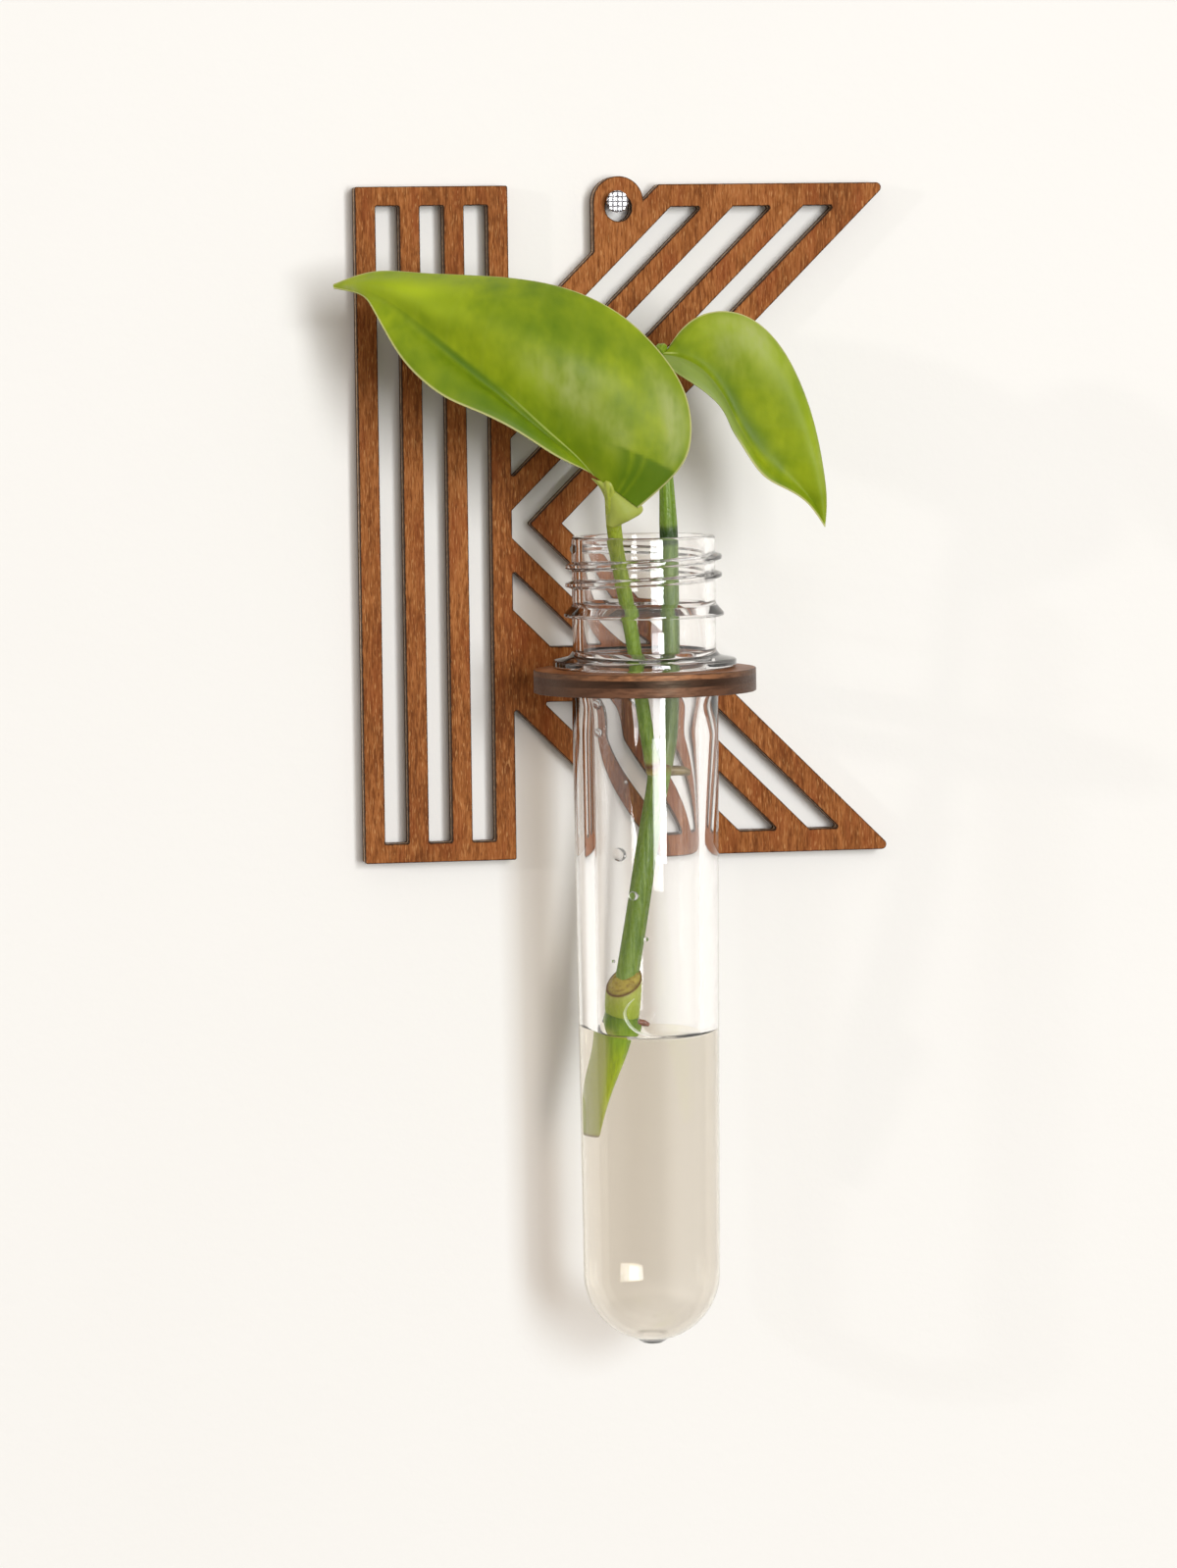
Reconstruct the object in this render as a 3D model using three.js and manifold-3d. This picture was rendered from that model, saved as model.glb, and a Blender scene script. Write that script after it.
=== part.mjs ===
// A wall-hung propagation station: a striped plywood letter on a nail, a plywood ring tenoned into it,
// and a clear threaded tube that hangs in the ring with water and a two-leaved cutting.
// Millimetres, +Z up, +X to the viewer's right, the viewer on the -Y side.
// The origin is on the nail's axis at the wall, which is also the back of the letter.
import * as THREE from "three";
import { mergeVertices } from "three/addons/utils/BufferGeometryUtils.js";
import Module from "manifold-3d";

const wasm = await Module();
wasm.setup();

// Plywood
const PLY = 4.0; // thickness of the plywood of letter and ring
const SEAT_GAP = 0.2; // air left between a piece and what it rests on
const JOINT_GAP = 0.15; // laser kerf on each side of the tenon

// Nail
const NAIL_RADIUS = 1.0;
const NAIL_HEAD_RADIUS = 1.95;
const NAIL_HEAD_THICKNESS = 1.0;
const NAIL_HEAD_STANDOFF = 1.3; // from the letter's front to the underside of the head
const NAIL_DEPTH = 16.0; // length hidden in the wall
const NAIL_POINT = 3.0;
const NAIL_SEAT_ANGLE = 25; // degrees left of the hole's top where the letter bears on the nail
const HATCH_GROOVES = 3; // grooves each way on the head
const HATCH_PITCH = 0.85;
const HATCH_WIDTH = 0.22;
const HATCH_DEPTH = 0.14;

// Letter, measured from the centre of its hanging hole
const HOLE_RADIUS = 2.4;
const LETTER_TOP = 4.1; // the top edge is this far above the hole's centre
const LETTER_HEIGHT = 120.0;
const STEM_RAIL = 3.6;
const STEM_SLOT = 4.28;
const STEM_SLOTS = 3;
const STEM_END_BAR = 3.4;
const ARM_START = 3.27; // where the arm's 45 degree edge would meet the level of the hole's centre
const ARM_RAILS = [6.1, 5.6, 5.65, 5.75]; // level widths, from the stem's side outwards
const ARM_SLOTS = [5.75, 7.15, 5.7];
const ARM_END_BAR = 4.0;
const CROTCH_GAP = 9.0; // from the stem's right edge to where the arms' outer edges meet
const EAR_RADIUS = 4.5;
const EAR_RISE = 1.1; // the ear's arc is centred this far above the hole
const TIP_RADIUS = 0.9;
const OUTLINE_RADIUS = 0.4;
const SLOT_RADIUS = 0.35;
const BAR_HEIGHT = 9.8; // the level bar that takes the ring's tenon
const BAR_BELOW_MIDDLE = 26.95; // from the letter's middle height down to the middle of the bar

// Ring
const RING_RADIUS = 19.55;
const RING_INSET = 15.82; // from the lower arm's outer edge, at the ring's level, in to the ring's centre
const TENON_WIDTH = 16.0;
const TENON_SLOT_RADIUS = 0.05;
const RING_CLEARANCE = 0.35; // between the ring's hole and the tube

// Tube, heights measured down from its rim
const RIM_RADIUS = 12.6;
const BORE_RADIUS = 10.85;
const RIM_ROUND = 0.45;
const THREAD_RADIUS = 13.75;
const THREAD_PITCH = 3.15;
const THREAD_START = 2.1; // middle of the thread's first end
const THREAD_TURNS = 2.15;
const THREAD_FOOT = 1.5; // axial width of the thread at its foot
const THREAD_CREST = 0.55;
const THREAD_RUN_OUT = 0.12; // turns over which the thread fades at each end
const BEAD_RADIUS = 14.05;
const BEAD_TOP = 11.6;
const BEAD_BOTTOM = 14.1;
const FLANGE_RADIUS = 16.15;
const FLANGE_THICKNESS = 2.1;
const FLANGE_EDGE = 1.5; // thickness at the flange's edge
const NECK_HEIGHT = 23.1; // rim to the underside of the flange
const BODY_RADIUS = 12.9;
const BODY_END_RADIUS = 12.05;
const WALL_TOP = 3.5; // wall of the body below its shoulder
const WALL_END = 3.2;
const SHOULDER_HEIGHT = 12.0; // height over which the bore narrows below the flange
const TUBE_LENGTH = 143.0; // rim to the tip of the gate nub
const GATE_RADIUS = 2.15;
const GATE_HEIGHT = 0.45;
const GATE_DRAFT = 0.4; // the nub is this much narrower at its tip

// Water and cutting
const WATER_DROP = 88.2; // rim to the water's surface
const WET_GAP = 0.3; // between the water and what it touches
const MENISCUS = 0.8;
const ORGAN_GAP = 0.3; // between solids of the cutting where its organs meet
const STEM_RADIUS = 2.1;
const SHEATH_RADIUS = 3.1;
const SHEATH_WALL_CUT = 2.2; // height difference across the slanting cut of the sheath
const PETIOLE_RADIUS = 1.35;
const PETIOLE_LEAN_ANGLE = 41.5; // degrees left of the rim's front where the petiole leans on it
const SHOOT_RADIUS = 1.55;
const UPPER_NUB_RADIUS = 0.85;
const LOWER_NUB_RADIUS = 0.6;
const LEAF_THICKNESS = 0.6;
const LEAF_ROWS_PER_POINT = 2.4; // rows of a blade for each point of its rails
const LEAF_COLUMNS = 12;

// Places that follow from the sizes
const nailSlack = HOLE_RADIUS - NAIL_RADIUS - SEAT_GAP;
const seatAngle = THREE.MathUtils.degToRad(NAIL_SEAT_ANGLE);
const hungAt = new THREE.Vector3(nailSlack * Math.sin(seatAngle), 0, -nailSlack * Math.cos(seatAngle));
const letterBottom = LETTER_TOP - LETTER_HEIGHT;
const middleDrop = -(LETTER_TOP + letterBottom) / 2;
const shelfDrop = middleDrop + BAR_BELOW_MIDDLE;
const barTopDrop = shelfDrop - BAR_HEIGHT / 2;
const barBottomDrop = shelfDrop + BAR_HEIGHT / 2;
const ringY = -(PLY + JOINT_GAP + RING_RADIUS);
const rimZ = -shelfDrop + PLY / 2 + SEAT_GAP + NECK_HEIGHT;
const shoulderDrop = NECK_HEIGHT + SHOULDER_HEIGHT;
const flangeUnder = -NECK_HEIGHT;
const domeDrop = TUBE_LENGTH - GATE_HEIGHT - BODY_END_RADIUS;
const innerEndRadius = BODY_END_RADIUS - WALL_END;

// Edges of the arm's rails and slots, as distances along a level line
const armEdges = [ARM_START];
ARM_SLOTS.forEach((slot, i) => {
  armEdges.push(armEdges.at(-1) + ARM_RAILS[i]);
  armEdges.push(armEdges.at(-1) + slot);
});
armEdges.push(armEdges.at(-1) + ARM_RAILS.at(-1));
const stemRight = armEdges.at(-1) - middleDrop - CROTCH_GAP;
const stemLeft = stemRight - STEM_SLOTS * (STEM_RAIL + STEM_SLOT) - STEM_RAIL;
const ringX = shelfDrop - 2 * middleDrop + armEdges.at(-1) - RING_INSET;

// Helpers

function solidOf(geometry) {
  const bare = geometry.clone();
  bare.deleteAttribute("normal");
  bare.deleteAttribute("uv");
  const merged = mergeVertices(bare, 1e-4);
  return new wasm.Manifold(
    new wasm.Mesh({
      numProp: 3,
      vertProperties: new Float32Array(merged.getAttribute("position").array),
      triVerts: new Uint32Array(merged.index.array),
    }),
  );
}

function geometryOf(solid) {
  const mesh = solid.getMesh();
  const geometry = new THREE.BufferGeometry();
  geometry.setAttribute("position", new THREE.BufferAttribute(mesh.vertProperties, 3));
  geometry.setIndex(new THREE.BufferAttribute(mesh.triVerts, 1));
  const flat = geometry.toNonIndexed();
  flat.computeVertexNormals();
  return flat;
}

// A closed outline whose corners [x, y, radius] are rounded by arcs tangent to both edges.
function roundedPath(corners, path) {
  const at = (i) => new THREE.Vector2(...corners[(i + corners.length) % corners.length]);
  corners.forEach(([x, y, radius], i) => {
    const corner = new THREE.Vector2(x, y);
    const toPrevious = at(i - 1).sub(corner);
    const toNext = at(i + 1).sub(corner);
    const half = Math.acos(toPrevious.dot(toNext) / (toPrevious.length() * toNext.length())) / 2;
    const run = Math.min(radius / Math.tan(half), 0.45 * toPrevious.length(), 0.45 * toNext.length());
    const start = corner.clone().add(toPrevious.normalize().multiplyScalar(run));
    const end = corner.clone().add(toNext.normalize().multiplyScalar(run));
    const centre = corner.clone().add(
      toPrevious.clone().add(toNext).normalize().multiplyScalar(run / Math.cos(half)),
    );
    const from = Math.atan2(start.y - centre.y, start.x - centre.x);
    const to = Math.atan2(end.y - centre.y, end.x - centre.x);
    const clockwise = toPrevious.cross(toNext) > 0;
    if (i === 0) path.moveTo(start.x, start.y);
    else path.lineTo(start.x, start.y);
    path.absarc(centre.x, centre.y, start.distanceTo(centre), from, to, clockwise);
  });
  path.closePath();
  return path;
}

const outline = (corners) => roundedPath(corners, new THREE.Shape());
const rounded = (points, radius) => points.map(([x, y]) => [x, y, radius]);

function circle(x, y, radius) {
  const shape = new THREE.Shape();
  shape.absarc(x, y, radius, 0, 2 * Math.PI, false);
  return shape;
}

// A plate that stands in the XZ plane, its back at y = back and its front towards -Y.
function uprightPlate(shape, back, thickness, curveSegments = 6) {
  const plate = new THREE.ExtrudeGeometry(shape, { depth: thickness, bevelEnabled: false, curveSegments });
  return plate.rotateX(Math.PI / 2).translate(0, back, 0);
}

// A closed surface through rings of equal length, with a fan of triangles over each end.
function loft(rings) {
  const count = rings[0].length;
  const points = rings.flat();
  const faces = [];
  for (let row = 0; row + 1 < rings.length; row++) {
    for (let i = 0; i < count; i++) {
      const a = row * count + i;
      const b = row * count + ((i + 1) % count);
      faces.push(a, b, b + count, a, b + count, a + count);
    }
  }
  const centreOf = (ring) =>
    ring.reduce((sum, p) => sum.add(p), new THREE.Vector3()).divideScalar(ring.length);
  const first = points.push(centreOf(rings[0])) - 1;
  const last = points.push(centreOf(rings.at(-1))) - 1;
  const lastRow = (rings.length - 1) * count;
  for (let i = 0; i < count; i++) {
    const next = (i + 1) % count;
    faces.push(first, next, i);
    faces.push(last, lastRow + i, lastRow + next);
  }
  const geometry = new THREE.BufferGeometry().setFromPoints(points);
  geometry.setIndex(signedVolume(points, faces) > 0 ? faces : faces.reverse());
  return geometry;
}

function signedVolume(points, faces) {
  let six = 0;
  for (let i = 0; i < faces.length; i += 3) {
    const [a, b, c] = [points[faces[i]], points[faces[i + 1]], points[faces[i + 2]]];
    six += a.dot(b.clone().cross(c));
  }
  return six / 6;
}

const smoothCurve = (points) =>
  new THREE.CatmullRomCurve3(points.map((p) => new THREE.Vector3(...p)), false, "centripetal");

// A round stem along a smooth curve; radiusAt(t) gives its radius at the share t of its length.
function stemAlong(points, radiusAt, steps, sides) {
  const curve = smoothCurve(points);
  const frames = curve.computeFrenetFrames(steps, false);
  const rings = [];
  for (let i = 0; i <= steps; i++) {
    const t = i / steps;
    const centre = curve.getPointAt(t);
    const ring = [];
    for (let k = 0; k < sides; k++) {
      const angle = (2 * Math.PI * k) / sides;
      const reach = radiusAt(t);
      ring.push(
        centre.clone()
          .addScaledVector(frames.normals[i], reach * Math.cos(angle))
          .addScaledVector(frames.binormals[i], reach * Math.sin(angle)),
      );
    }
    rings.push(ring);
  }
  return loft(rings);
}

// A leaf blade: a thin shell about the surface that runs smoothly across its rails,
// which are curves from the leaf's base to its tip.
function blade(rails) {
  const along = Math.round(LEAF_ROWS_PER_POINT * rails[0].length);
  const curves = rails.map(smoothCurve);
  const ease = (t) => t * t * (3 - 2 * t);
  const surface = (t, s) => {
    const crossing = smoothCurve(curves.map((curve) => curve.getPoint(t).toArray()));
    return crossing.getPoint(s);
  };
  const rings = [];
  for (let i = 0; i <= along; i++) {
    const t = i / along;
    const upper = [];
    const lower = [];
    for (let k = 0; k <= LEAF_COLUMNS; k++) {
      const s = k / LEAF_COLUMNS;
      const step = 0.01;
      const centre = surface(t, s);
      const alongT = surface(Math.min(1, t + step), s).sub(surface(Math.max(0, t - step), s));
      const alongS = surface(t, Math.min(1, s + step)).sub(surface(t, Math.max(0, s - step)));
      const normal = alongT.cross(alongS).normalize();
      const taper = 0.35 + 0.65 * ease(Math.min(1, 4 * Math.min(s, 1 - s)));
      const half = (LEAF_THICKNESS / 2) * taper;
      upper.push(centre.clone().addScaledVector(normal, half));
      lower.unshift(centre.clone().addScaledVector(normal, -half));
    }
    rings.push([...upper, ...lower]);
  }
  return loft(rings);
}

// A profile of [radius, height] turned about the vertical axis.
function turned(profile, segments) {
  const points = profile.map(([radius, height]) => new THREE.Vector2(radius, height));
  return new THREE.LatheGeometry(points, segments).rotateX(Math.PI / 2);
}

// Quarter of a circle from the level end to the axis, as [radius, height] points.
function domeProfile(radius, centreHeight, steps) {
  const points = [];
  for (let i = 0; i <= steps; i++) {
    const angle = (Math.PI / 2) * (i / steps);
    points.push([radius * Math.cos(angle), centreHeight - radius * Math.sin(angle)]);
  }
  return points;
}

// Pieces

function wallNail() {
  const headUnder = -(PLY + NAIL_HEAD_STANDOFF);
  const headFront = headUnder - NAIL_HEAD_THICKNESS;
  const chamfer = 0.2;
  const profile = [
    [0, headFront],
    [NAIL_HEAD_RADIUS - chamfer, headFront],
    [NAIL_HEAD_RADIUS, headFront + chamfer],
    [NAIL_HEAD_RADIUS, headUnder - chamfer],
    [NAIL_RADIUS, headUnder + chamfer],
    [NAIL_RADIUS, NAIL_DEPTH - NAIL_POINT],
    [0, NAIL_DEPTH],
  ];
  const lathe = new THREE.LatheGeometry(profile.map(([r, y]) => new THREE.Vector2(r, y)), 28);
  let nail = solidOf(lathe);
  for (let way = 0; way < 2; way++) {
    for (let i = 0; i < HATCH_GROOVES; i++) {
      const offset = (i - (HATCH_GROOVES - 1) / 2) * HATCH_PITCH;
      const groove = new THREE.BoxGeometry(2.5 * NAIL_HEAD_RADIUS, 2 * HATCH_DEPTH, HATCH_WIDTH);
      groove.translate(0, headFront, offset).rotateY((way * Math.PI) / 2 + 0.35);
      nail = nail.subtract(solidOf(groove));
    }
  }
  return geometryOf(nail);
}

// The outline is worked out for depths below the hole's centre; y is minus that depth.
function letterPanel() {
  const armEnd = armEdges.at(-1);
  const tipX = armEnd + LETTER_TOP;
  const heelX = ARM_START + LETTER_TOP;
  const mirrorY = (y) => -2 * middleDrop - y;
  const notchY = stemRight - ARM_START;
  const outer = outline([
    [stemLeft, LETTER_TOP, OUTLINE_RADIUS],
    [stemLeft, letterBottom, OUTLINE_RADIUS],
    [stemRight, letterBottom, OUTLINE_RADIUS],
    [stemRight, mirrorY(notchY), OUTLINE_RADIUS],
    [heelX, letterBottom, OUTLINE_RADIUS],
    [tipX, letterBottom, TIP_RADIUS],
    [armEnd - middleDrop, -middleDrop, OUTLINE_RADIUS / 4],
    [tipX, LETTER_TOP, TIP_RADIUS],
    [heelX, LETTER_TOP, OUTLINE_RADIUS],
    [stemRight, notchY, OUTLINE_RADIUS],
    [stemRight, LETTER_TOP, OUTLINE_RADIUS],
  ]);
  let letter = solidOf(uprightPlate(outer, 0, PLY));

  const ear = new THREE.Shape();
  const earFootY = -EAR_RADIUS - ARM_START;
  ear.moveTo(-EAR_RADIUS, earFootY);
  ear.lineTo(EAR_RADIUS, earFootY);
  ear.lineTo(EAR_RADIUS, EAR_RISE);
  ear.absarc(0, EAR_RISE, EAR_RADIUS, 0, Math.PI, false);
  ear.closePath();
  letter = letter.add(solidOf(uprightPlate(ear, 0, PLY, 16)));

  const cut = (shape, segments) => {
    const cutter = uprightPlate(shape, PLY / 2, 2 * PLY, segments);
    letter = letter.subtract(solidOf(cutter));
  };
  cut(circle(0, 0, HOLE_RADIUS), 14);

  for (let i = 0; i < STEM_SLOTS; i++) {
    const left = stemLeft + STEM_RAIL + i * (STEM_RAIL + STEM_SLOT);
    const right = left + STEM_SLOT;
    const top = LETTER_TOP - STEM_END_BAR;
    const bottom = letterBottom + STEM_END_BAR;
    cut(outline(rounded([[left, top], [left, bottom], [right, bottom], [right, top]], SLOT_RADIUS)));
  }

  const slotTop = LETTER_TOP - ARM_END_BAR;
  const slotEndDrop = -letterBottom - ARM_END_BAR;
  ARM_SLOTS.forEach((_, i) => {
    const near = armEdges[2 * i + 1];
    const far = armEdges[2 * i + 2];
    const upperNear = [near + slotTop, slotTop];
    const upperFar = [far + slotTop, slotTop];
    // A point of the lower arm at a depth, on the mirror image of the upper arm's line.
    const lower = (edge, drop) => [drop - (2 * middleDrop - edge), -drop];
    const lowerPart = [
      lower(near, barBottomDrop),
      lower(near, slotEndDrop),
      lower(far, slotEndDrop),
      lower(far, barBottomDrop),
    ];
    cut(outline(rounded(lowerPart, SLOT_RADIUS)));
    if (i === ARM_SLOTS.length - 1) {
      const chevron = [
        upperNear,
        [stemRight, stemRight - near],
        [stemRight, mirrorY(stemRight - near)],
        lower(near, barTopDrop),
        lower(far, barTopDrop),
        [far - middleDrop, -middleDrop],
        upperFar,
      ];
      cut(outline(rounded(chevron, SLOT_RADIUS)));
      return;
    }
    const upperPart = [upperNear, [stemRight, stemRight - near], [stemRight, stemRight - far], upperFar];
    cut(outline(rounded(upperPart, SLOT_RADIUS)));
    const startDrop = 2 * middleDrop - (far - stemRight);
    if (barTopDrop - startDrop > STEM_RAIL) {
      const betweenPart = [
        [stemRight, -startDrop],
        [stemRight, mirrorY(stemRight - near)],
        lower(near, barTopDrop),
        lower(far, barTopDrop),
      ];
      cut(outline(rounded(betweenPart, SLOT_RADIUS)));
    }
  });

  const halfTenon = TENON_WIDTH / 2 + JOINT_GAP;
  const halfSlot = PLY / 2 + JOINT_GAP;
  cut(outline([
    [ringX - halfTenon, -shelfDrop + halfSlot, TENON_SLOT_RADIUS],
    [ringX - halfTenon, -shelfDrop - halfSlot, TENON_SLOT_RADIUS],
    [ringX + halfTenon, -shelfDrop - halfSlot, TENON_SLOT_RADIUS],
    [ringX + halfTenon, -shelfDrop + halfSlot, TENON_SLOT_RADIUS],
  ]));
  return geometryOf(letter);
}

// The ring lies flat; its tenon runs to the back of the letter.
function ringShelf() {
  const half = TENON_WIDTH / 2;
  const shoulder = Math.asin(half / RING_RADIUS);
  const shape = new THREE.Shape();
  shape.moveTo(half, -ringY);
  shape.lineTo(-half, -ringY);
  shape.absarc(0, 0, RING_RADIUS, Math.PI / 2 + shoulder, Math.PI / 2 - shoulder + 2 * Math.PI, false);
  shape.closePath();
  shape.holes.push(circle(0, 0, BODY_RADIUS + RING_CLEARANCE));
  const ring = new THREE.ExtrudeGeometry(shape, { depth: PLY, bevelEnabled: false, curveSegments: 60 });
  return ring.translate(ringX, ringY, -shelfDrop - PLY / 2);
}

// The bore of the tube from the rim down to the axis, as [radius, height] points, drawn in by a gap.
function boreProfile(gap, steps) {
  const points = [
    [BORE_RADIUS - gap, -RIM_ROUND],
    [BORE_RADIUS - gap, flangeUnder],
  ];
  const shoulderRadius = BODY_RADIUS - WALL_TOP;
  const turns = 6;
  for (let i = 1; i <= turns; i++) {
    const ease = 0.5 - 0.5 * Math.cos((Math.PI * i) / turns);
    points.push([
      THREE.MathUtils.lerp(BORE_RADIUS, shoulderRadius, ease) - gap,
      flangeUnder - (SHOULDER_HEIGHT * i) / turns,
    ]);
  }
  points.push(...domeProfile(innerEndRadius - gap, -domeDrop, steps));
  return points;
}

function boreRadiusAt(height, gap) {
  const profile = boreProfile(gap, 1);
  const below = profile.findIndex(([, z]) => z <= height);
  const [r1, z1] = profile[below];
  const [r0, z0] = profile[Math.max(0, below - 1)];
  return z0 === z1 ? r1 : THREE.MathUtils.lerp(r0, r1, (z0 - height) / (z0 - z1));
}

function preformTube() {
  const segments = 48;
  const bottom = -TUBE_LENGTH;
  const gateTop = bottom + GATE_HEIGHT;
  const neckFoot = flangeUnder + FLANGE_THICKNESS;
  const dome = domeProfile(BODY_END_RADIUS, -domeDrop, 9).reverse();
  const outside = [
    [0, bottom],
    [GATE_RADIUS - GATE_DRAFT, bottom],
    [GATE_RADIUS, gateTop],
    ...dome.filter(([radius]) => radius > GATE_RADIUS),
    [BODY_RADIUS, -shoulderDrop],
    [BODY_RADIUS, flangeUnder],
    [FLANGE_RADIUS - 0.2, flangeUnder],
    [FLANGE_RADIUS, flangeUnder + 0.2],
    [FLANGE_RADIUS, flangeUnder + FLANGE_EDGE - 0.4],
    [FLANGE_RADIUS - 0.4, flangeUnder + FLANGE_EDGE],
    [RIM_RADIUS + 0.6, neckFoot],
    [RIM_RADIUS, neckFoot + 0.6],
    [RIM_RADIUS, -BEAD_BOTTOM],
    [BEAD_RADIUS, -BEAD_BOTTOM],
    [BEAD_RADIUS, -BEAD_BOTTOM + 0.4],
    [RIM_RADIUS + 0.35, -BEAD_TOP - 0.7],
    [RIM_RADIUS, -BEAD_TOP],
    [RIM_RADIUS, -RIM_ROUND],
    [RIM_RADIUS - RIM_ROUND, 0],
    [BORE_RADIUS + RIM_ROUND, 0],
  ];
  const tube = solidOf(turned([...outside, ...boreProfile(0, 9)], segments));
  return geometryOf(tube.add(solidOf(threadRidge())));
}

// The thread: one unbroken right-hand helix from the left side of the neck, behind it first.
function threadRidge() {
  const stepsPerTurn = 36;
  const steps = Math.round(THREAD_TURNS * stepsPerTurn);
  const rings = [];
  const sink = 0.4;
  for (let i = 0; i <= steps; i++) {
    const turn = i / stepsPerTurn;
    const fade = Math.min(1, turn / THREAD_RUN_OUT, (THREAD_TURNS - turn) / THREAD_RUN_OUT);
    const angle = Math.PI - 2 * Math.PI * turn;
    const height = -THREAD_START - THREAD_PITCH * turn;
    const crest = RIM_RADIUS + (THREAD_RADIUS - RIM_RADIUS) * Math.max(0.08, fade);
    const section = [
      [RIM_RADIUS - sink, -THREAD_FOOT / 2],
      [RIM_RADIUS, -THREAD_FOOT / 2],
      [crest, -THREAD_CREST / 2],
      [crest, THREAD_CREST / 2],
      [RIM_RADIUS, THREAD_FOOT / 2],
      [RIM_RADIUS - sink, THREAD_FOOT / 2],
    ];
    rings.push(
      section.map(([radius, rise]) =>
        new THREE.Vector3(radius * Math.cos(angle), radius * Math.sin(angle), height + rise),
      ),
    );
  }
  return loft(rings);
}

// Routes of the cutting's organs, hand-placed along the photographed plant: [x, y, z] from the tube's
// axis at the level of its rim.
const cutEndReach = innerEndRadius - WET_GAP - STEM_RADIUS;
const rimReach = BORE_RADIUS - ORGAN_GAP - PETIOLE_RADIUS;
const rimLean = THREE.MathUtils.degToRad(PETIOLE_LEAN_ANGLE);

const stemRoute = [
  [-cutEndReach, 0, -105.8],
  [-6.1, 0.3, -96.9],
  [-5.1, 0.6, -88.9],
  [-4.5, 0.4, -81.9],
  [-3.7, 0, -75.4],
  [-1.5, -0.3, -63.4],
  [0.4, -0.5, -51.9],
  [2, -0.6, -43.4],
  [2.4, -0.6, -40.5],
];

const sheathRoute = [
  [-4.9, 0.5, -85],
  [-4.6, 0.2, -78.8],
];

const upperNubRoute = [
  [4.75, -0.6, -41.4],
  [6.3, -0.8, -41.3],
  [7.9, -0.9, -41.7],
];

const lowerNubRoute = [
  [-2, 0, -85.6],
  [-1, -0.1, -85.8],
  [0, -0.3, -86.2],
];

const petioleRoute = [
  [0.8, -1.7, -39.8],
  [-1.2, -3.2, -29.4],
  [-2.7, -4.4, -19.1],
  [-4.2, -5.6, -10.4],
  [-rimReach * Math.sin(rimLean), -rimReach * Math.cos(rimLean), -0.2],
  [-6.9, -9.6, 4],
  [-7.8, -11.55, 8.12],
];

const shootRoute = [
  [3.3, -0.3, -40],
  [4.4, -0.6, -32.4],
  [4.5, -1.2, -22.4],
  [4.3, -2, -9.4],
  [4, -2.8, 0.6],
  [3.6, -3.6, 9.6],
  [2.8, -4.8, 21.6],
  [1.5, -7.2, 31.4],
];

function radiusProfile(pairs) {
  return (t) => {
    const next = Math.max(1, pairs.findIndex(([at]) => at >= t));
    const [t0, r0] = pairs[next - 1];
    const [t1, r1] = pairs[next];
    return THREE.MathUtils.lerp(r0, r1, THREE.MathUtils.smoothstep(t, t0, t1));
  };
}

const stemRadiusAt = radiusProfile([
  [0, STEM_RADIUS * 0.92],
  [0.1, STEM_RADIUS],
  [0.3, STEM_RADIUS * 1.1],
  [0.37, STEM_RADIUS * 1.15],
  [0.48, STEM_RADIUS * 0.98],
  [0.85, STEM_RADIUS * 0.86],
  [1, STEM_RADIUS],
]);

const stemSolid = (grow) => solidOf(stemAlong(stemRoute, (t) => stemRadiusAt(t) + grow, 36, 14));

// Space for the stem's cut end: a short round pocket beyond it.
function stemEndPocket(gap) {
  const [end, next] = stemRoute.map((p) => new THREE.Vector3(...p));
  const beyond = end.clone().sub(next).normalize().multiplyScalar(gap).add(end);
  const within = end.clone().lerp(next, 0.1);
  return solidOf(stemAlong([beyond.toArray(), within.toArray()], () => stemRadiusAt(0) + gap, 1, 14));
}

// The cut sheath of a removed leaf stands round the lower node, its top cut off at a slant.
function sheathSolid(grow) {
  const [foot, top] = sheathRoute;
  const sides = 16;
  const rings = [0, 0.35, 0.75, 1].map((t) => {
    const reach = THREE.MathUtils.lerp(STEM_RADIUS, SHEATH_RADIUS, Math.sqrt(t)) + grow;
    const ring = [];
    for (let k = 0; k < sides; k++) {
      const angle = (2 * Math.PI * k) / sides;
      const slant = t * t * (SHEATH_WALL_CUT / 2) * (Math.sin(angle) + 0.4 * Math.cos(angle));
      ring.push(
        new THREE.Vector3(
          THREE.MathUtils.lerp(foot[0], top[0], t) + reach * Math.cos(angle),
          THREE.MathUtils.lerp(foot[1], top[1], t) + 0.85 * reach * Math.sin(angle),
          THREE.MathUtils.lerp(foot[2], top[2], t) + slant,
        ),
      );
    }
    return ring;
  });
  return solidOf(loft(rings));
}

function cuttingStem() {
  return geometryOf(stemSolid(0).add(sheathSolid(0)));
}

function petioleLarge() {
  const radiusAt = radiusProfile([
    [0, PETIOLE_RADIUS * 0.9],
    [0.75, PETIOLE_RADIUS],
    [1, PETIOLE_RADIUS * 0.85],
  ]);
  return stemAlong(petioleRoute, radiusAt, 22, 10);
}

function shootSmall() {
  const radiusAt = radiusProfile([
    [0, SHOOT_RADIUS],
    [0.6, SHOOT_RADIUS],
    [1, SHOOT_RADIUS * 0.7],
  ]);
  return stemAlong(shootRoute, radiusAt, 24, 10);
}

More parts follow.
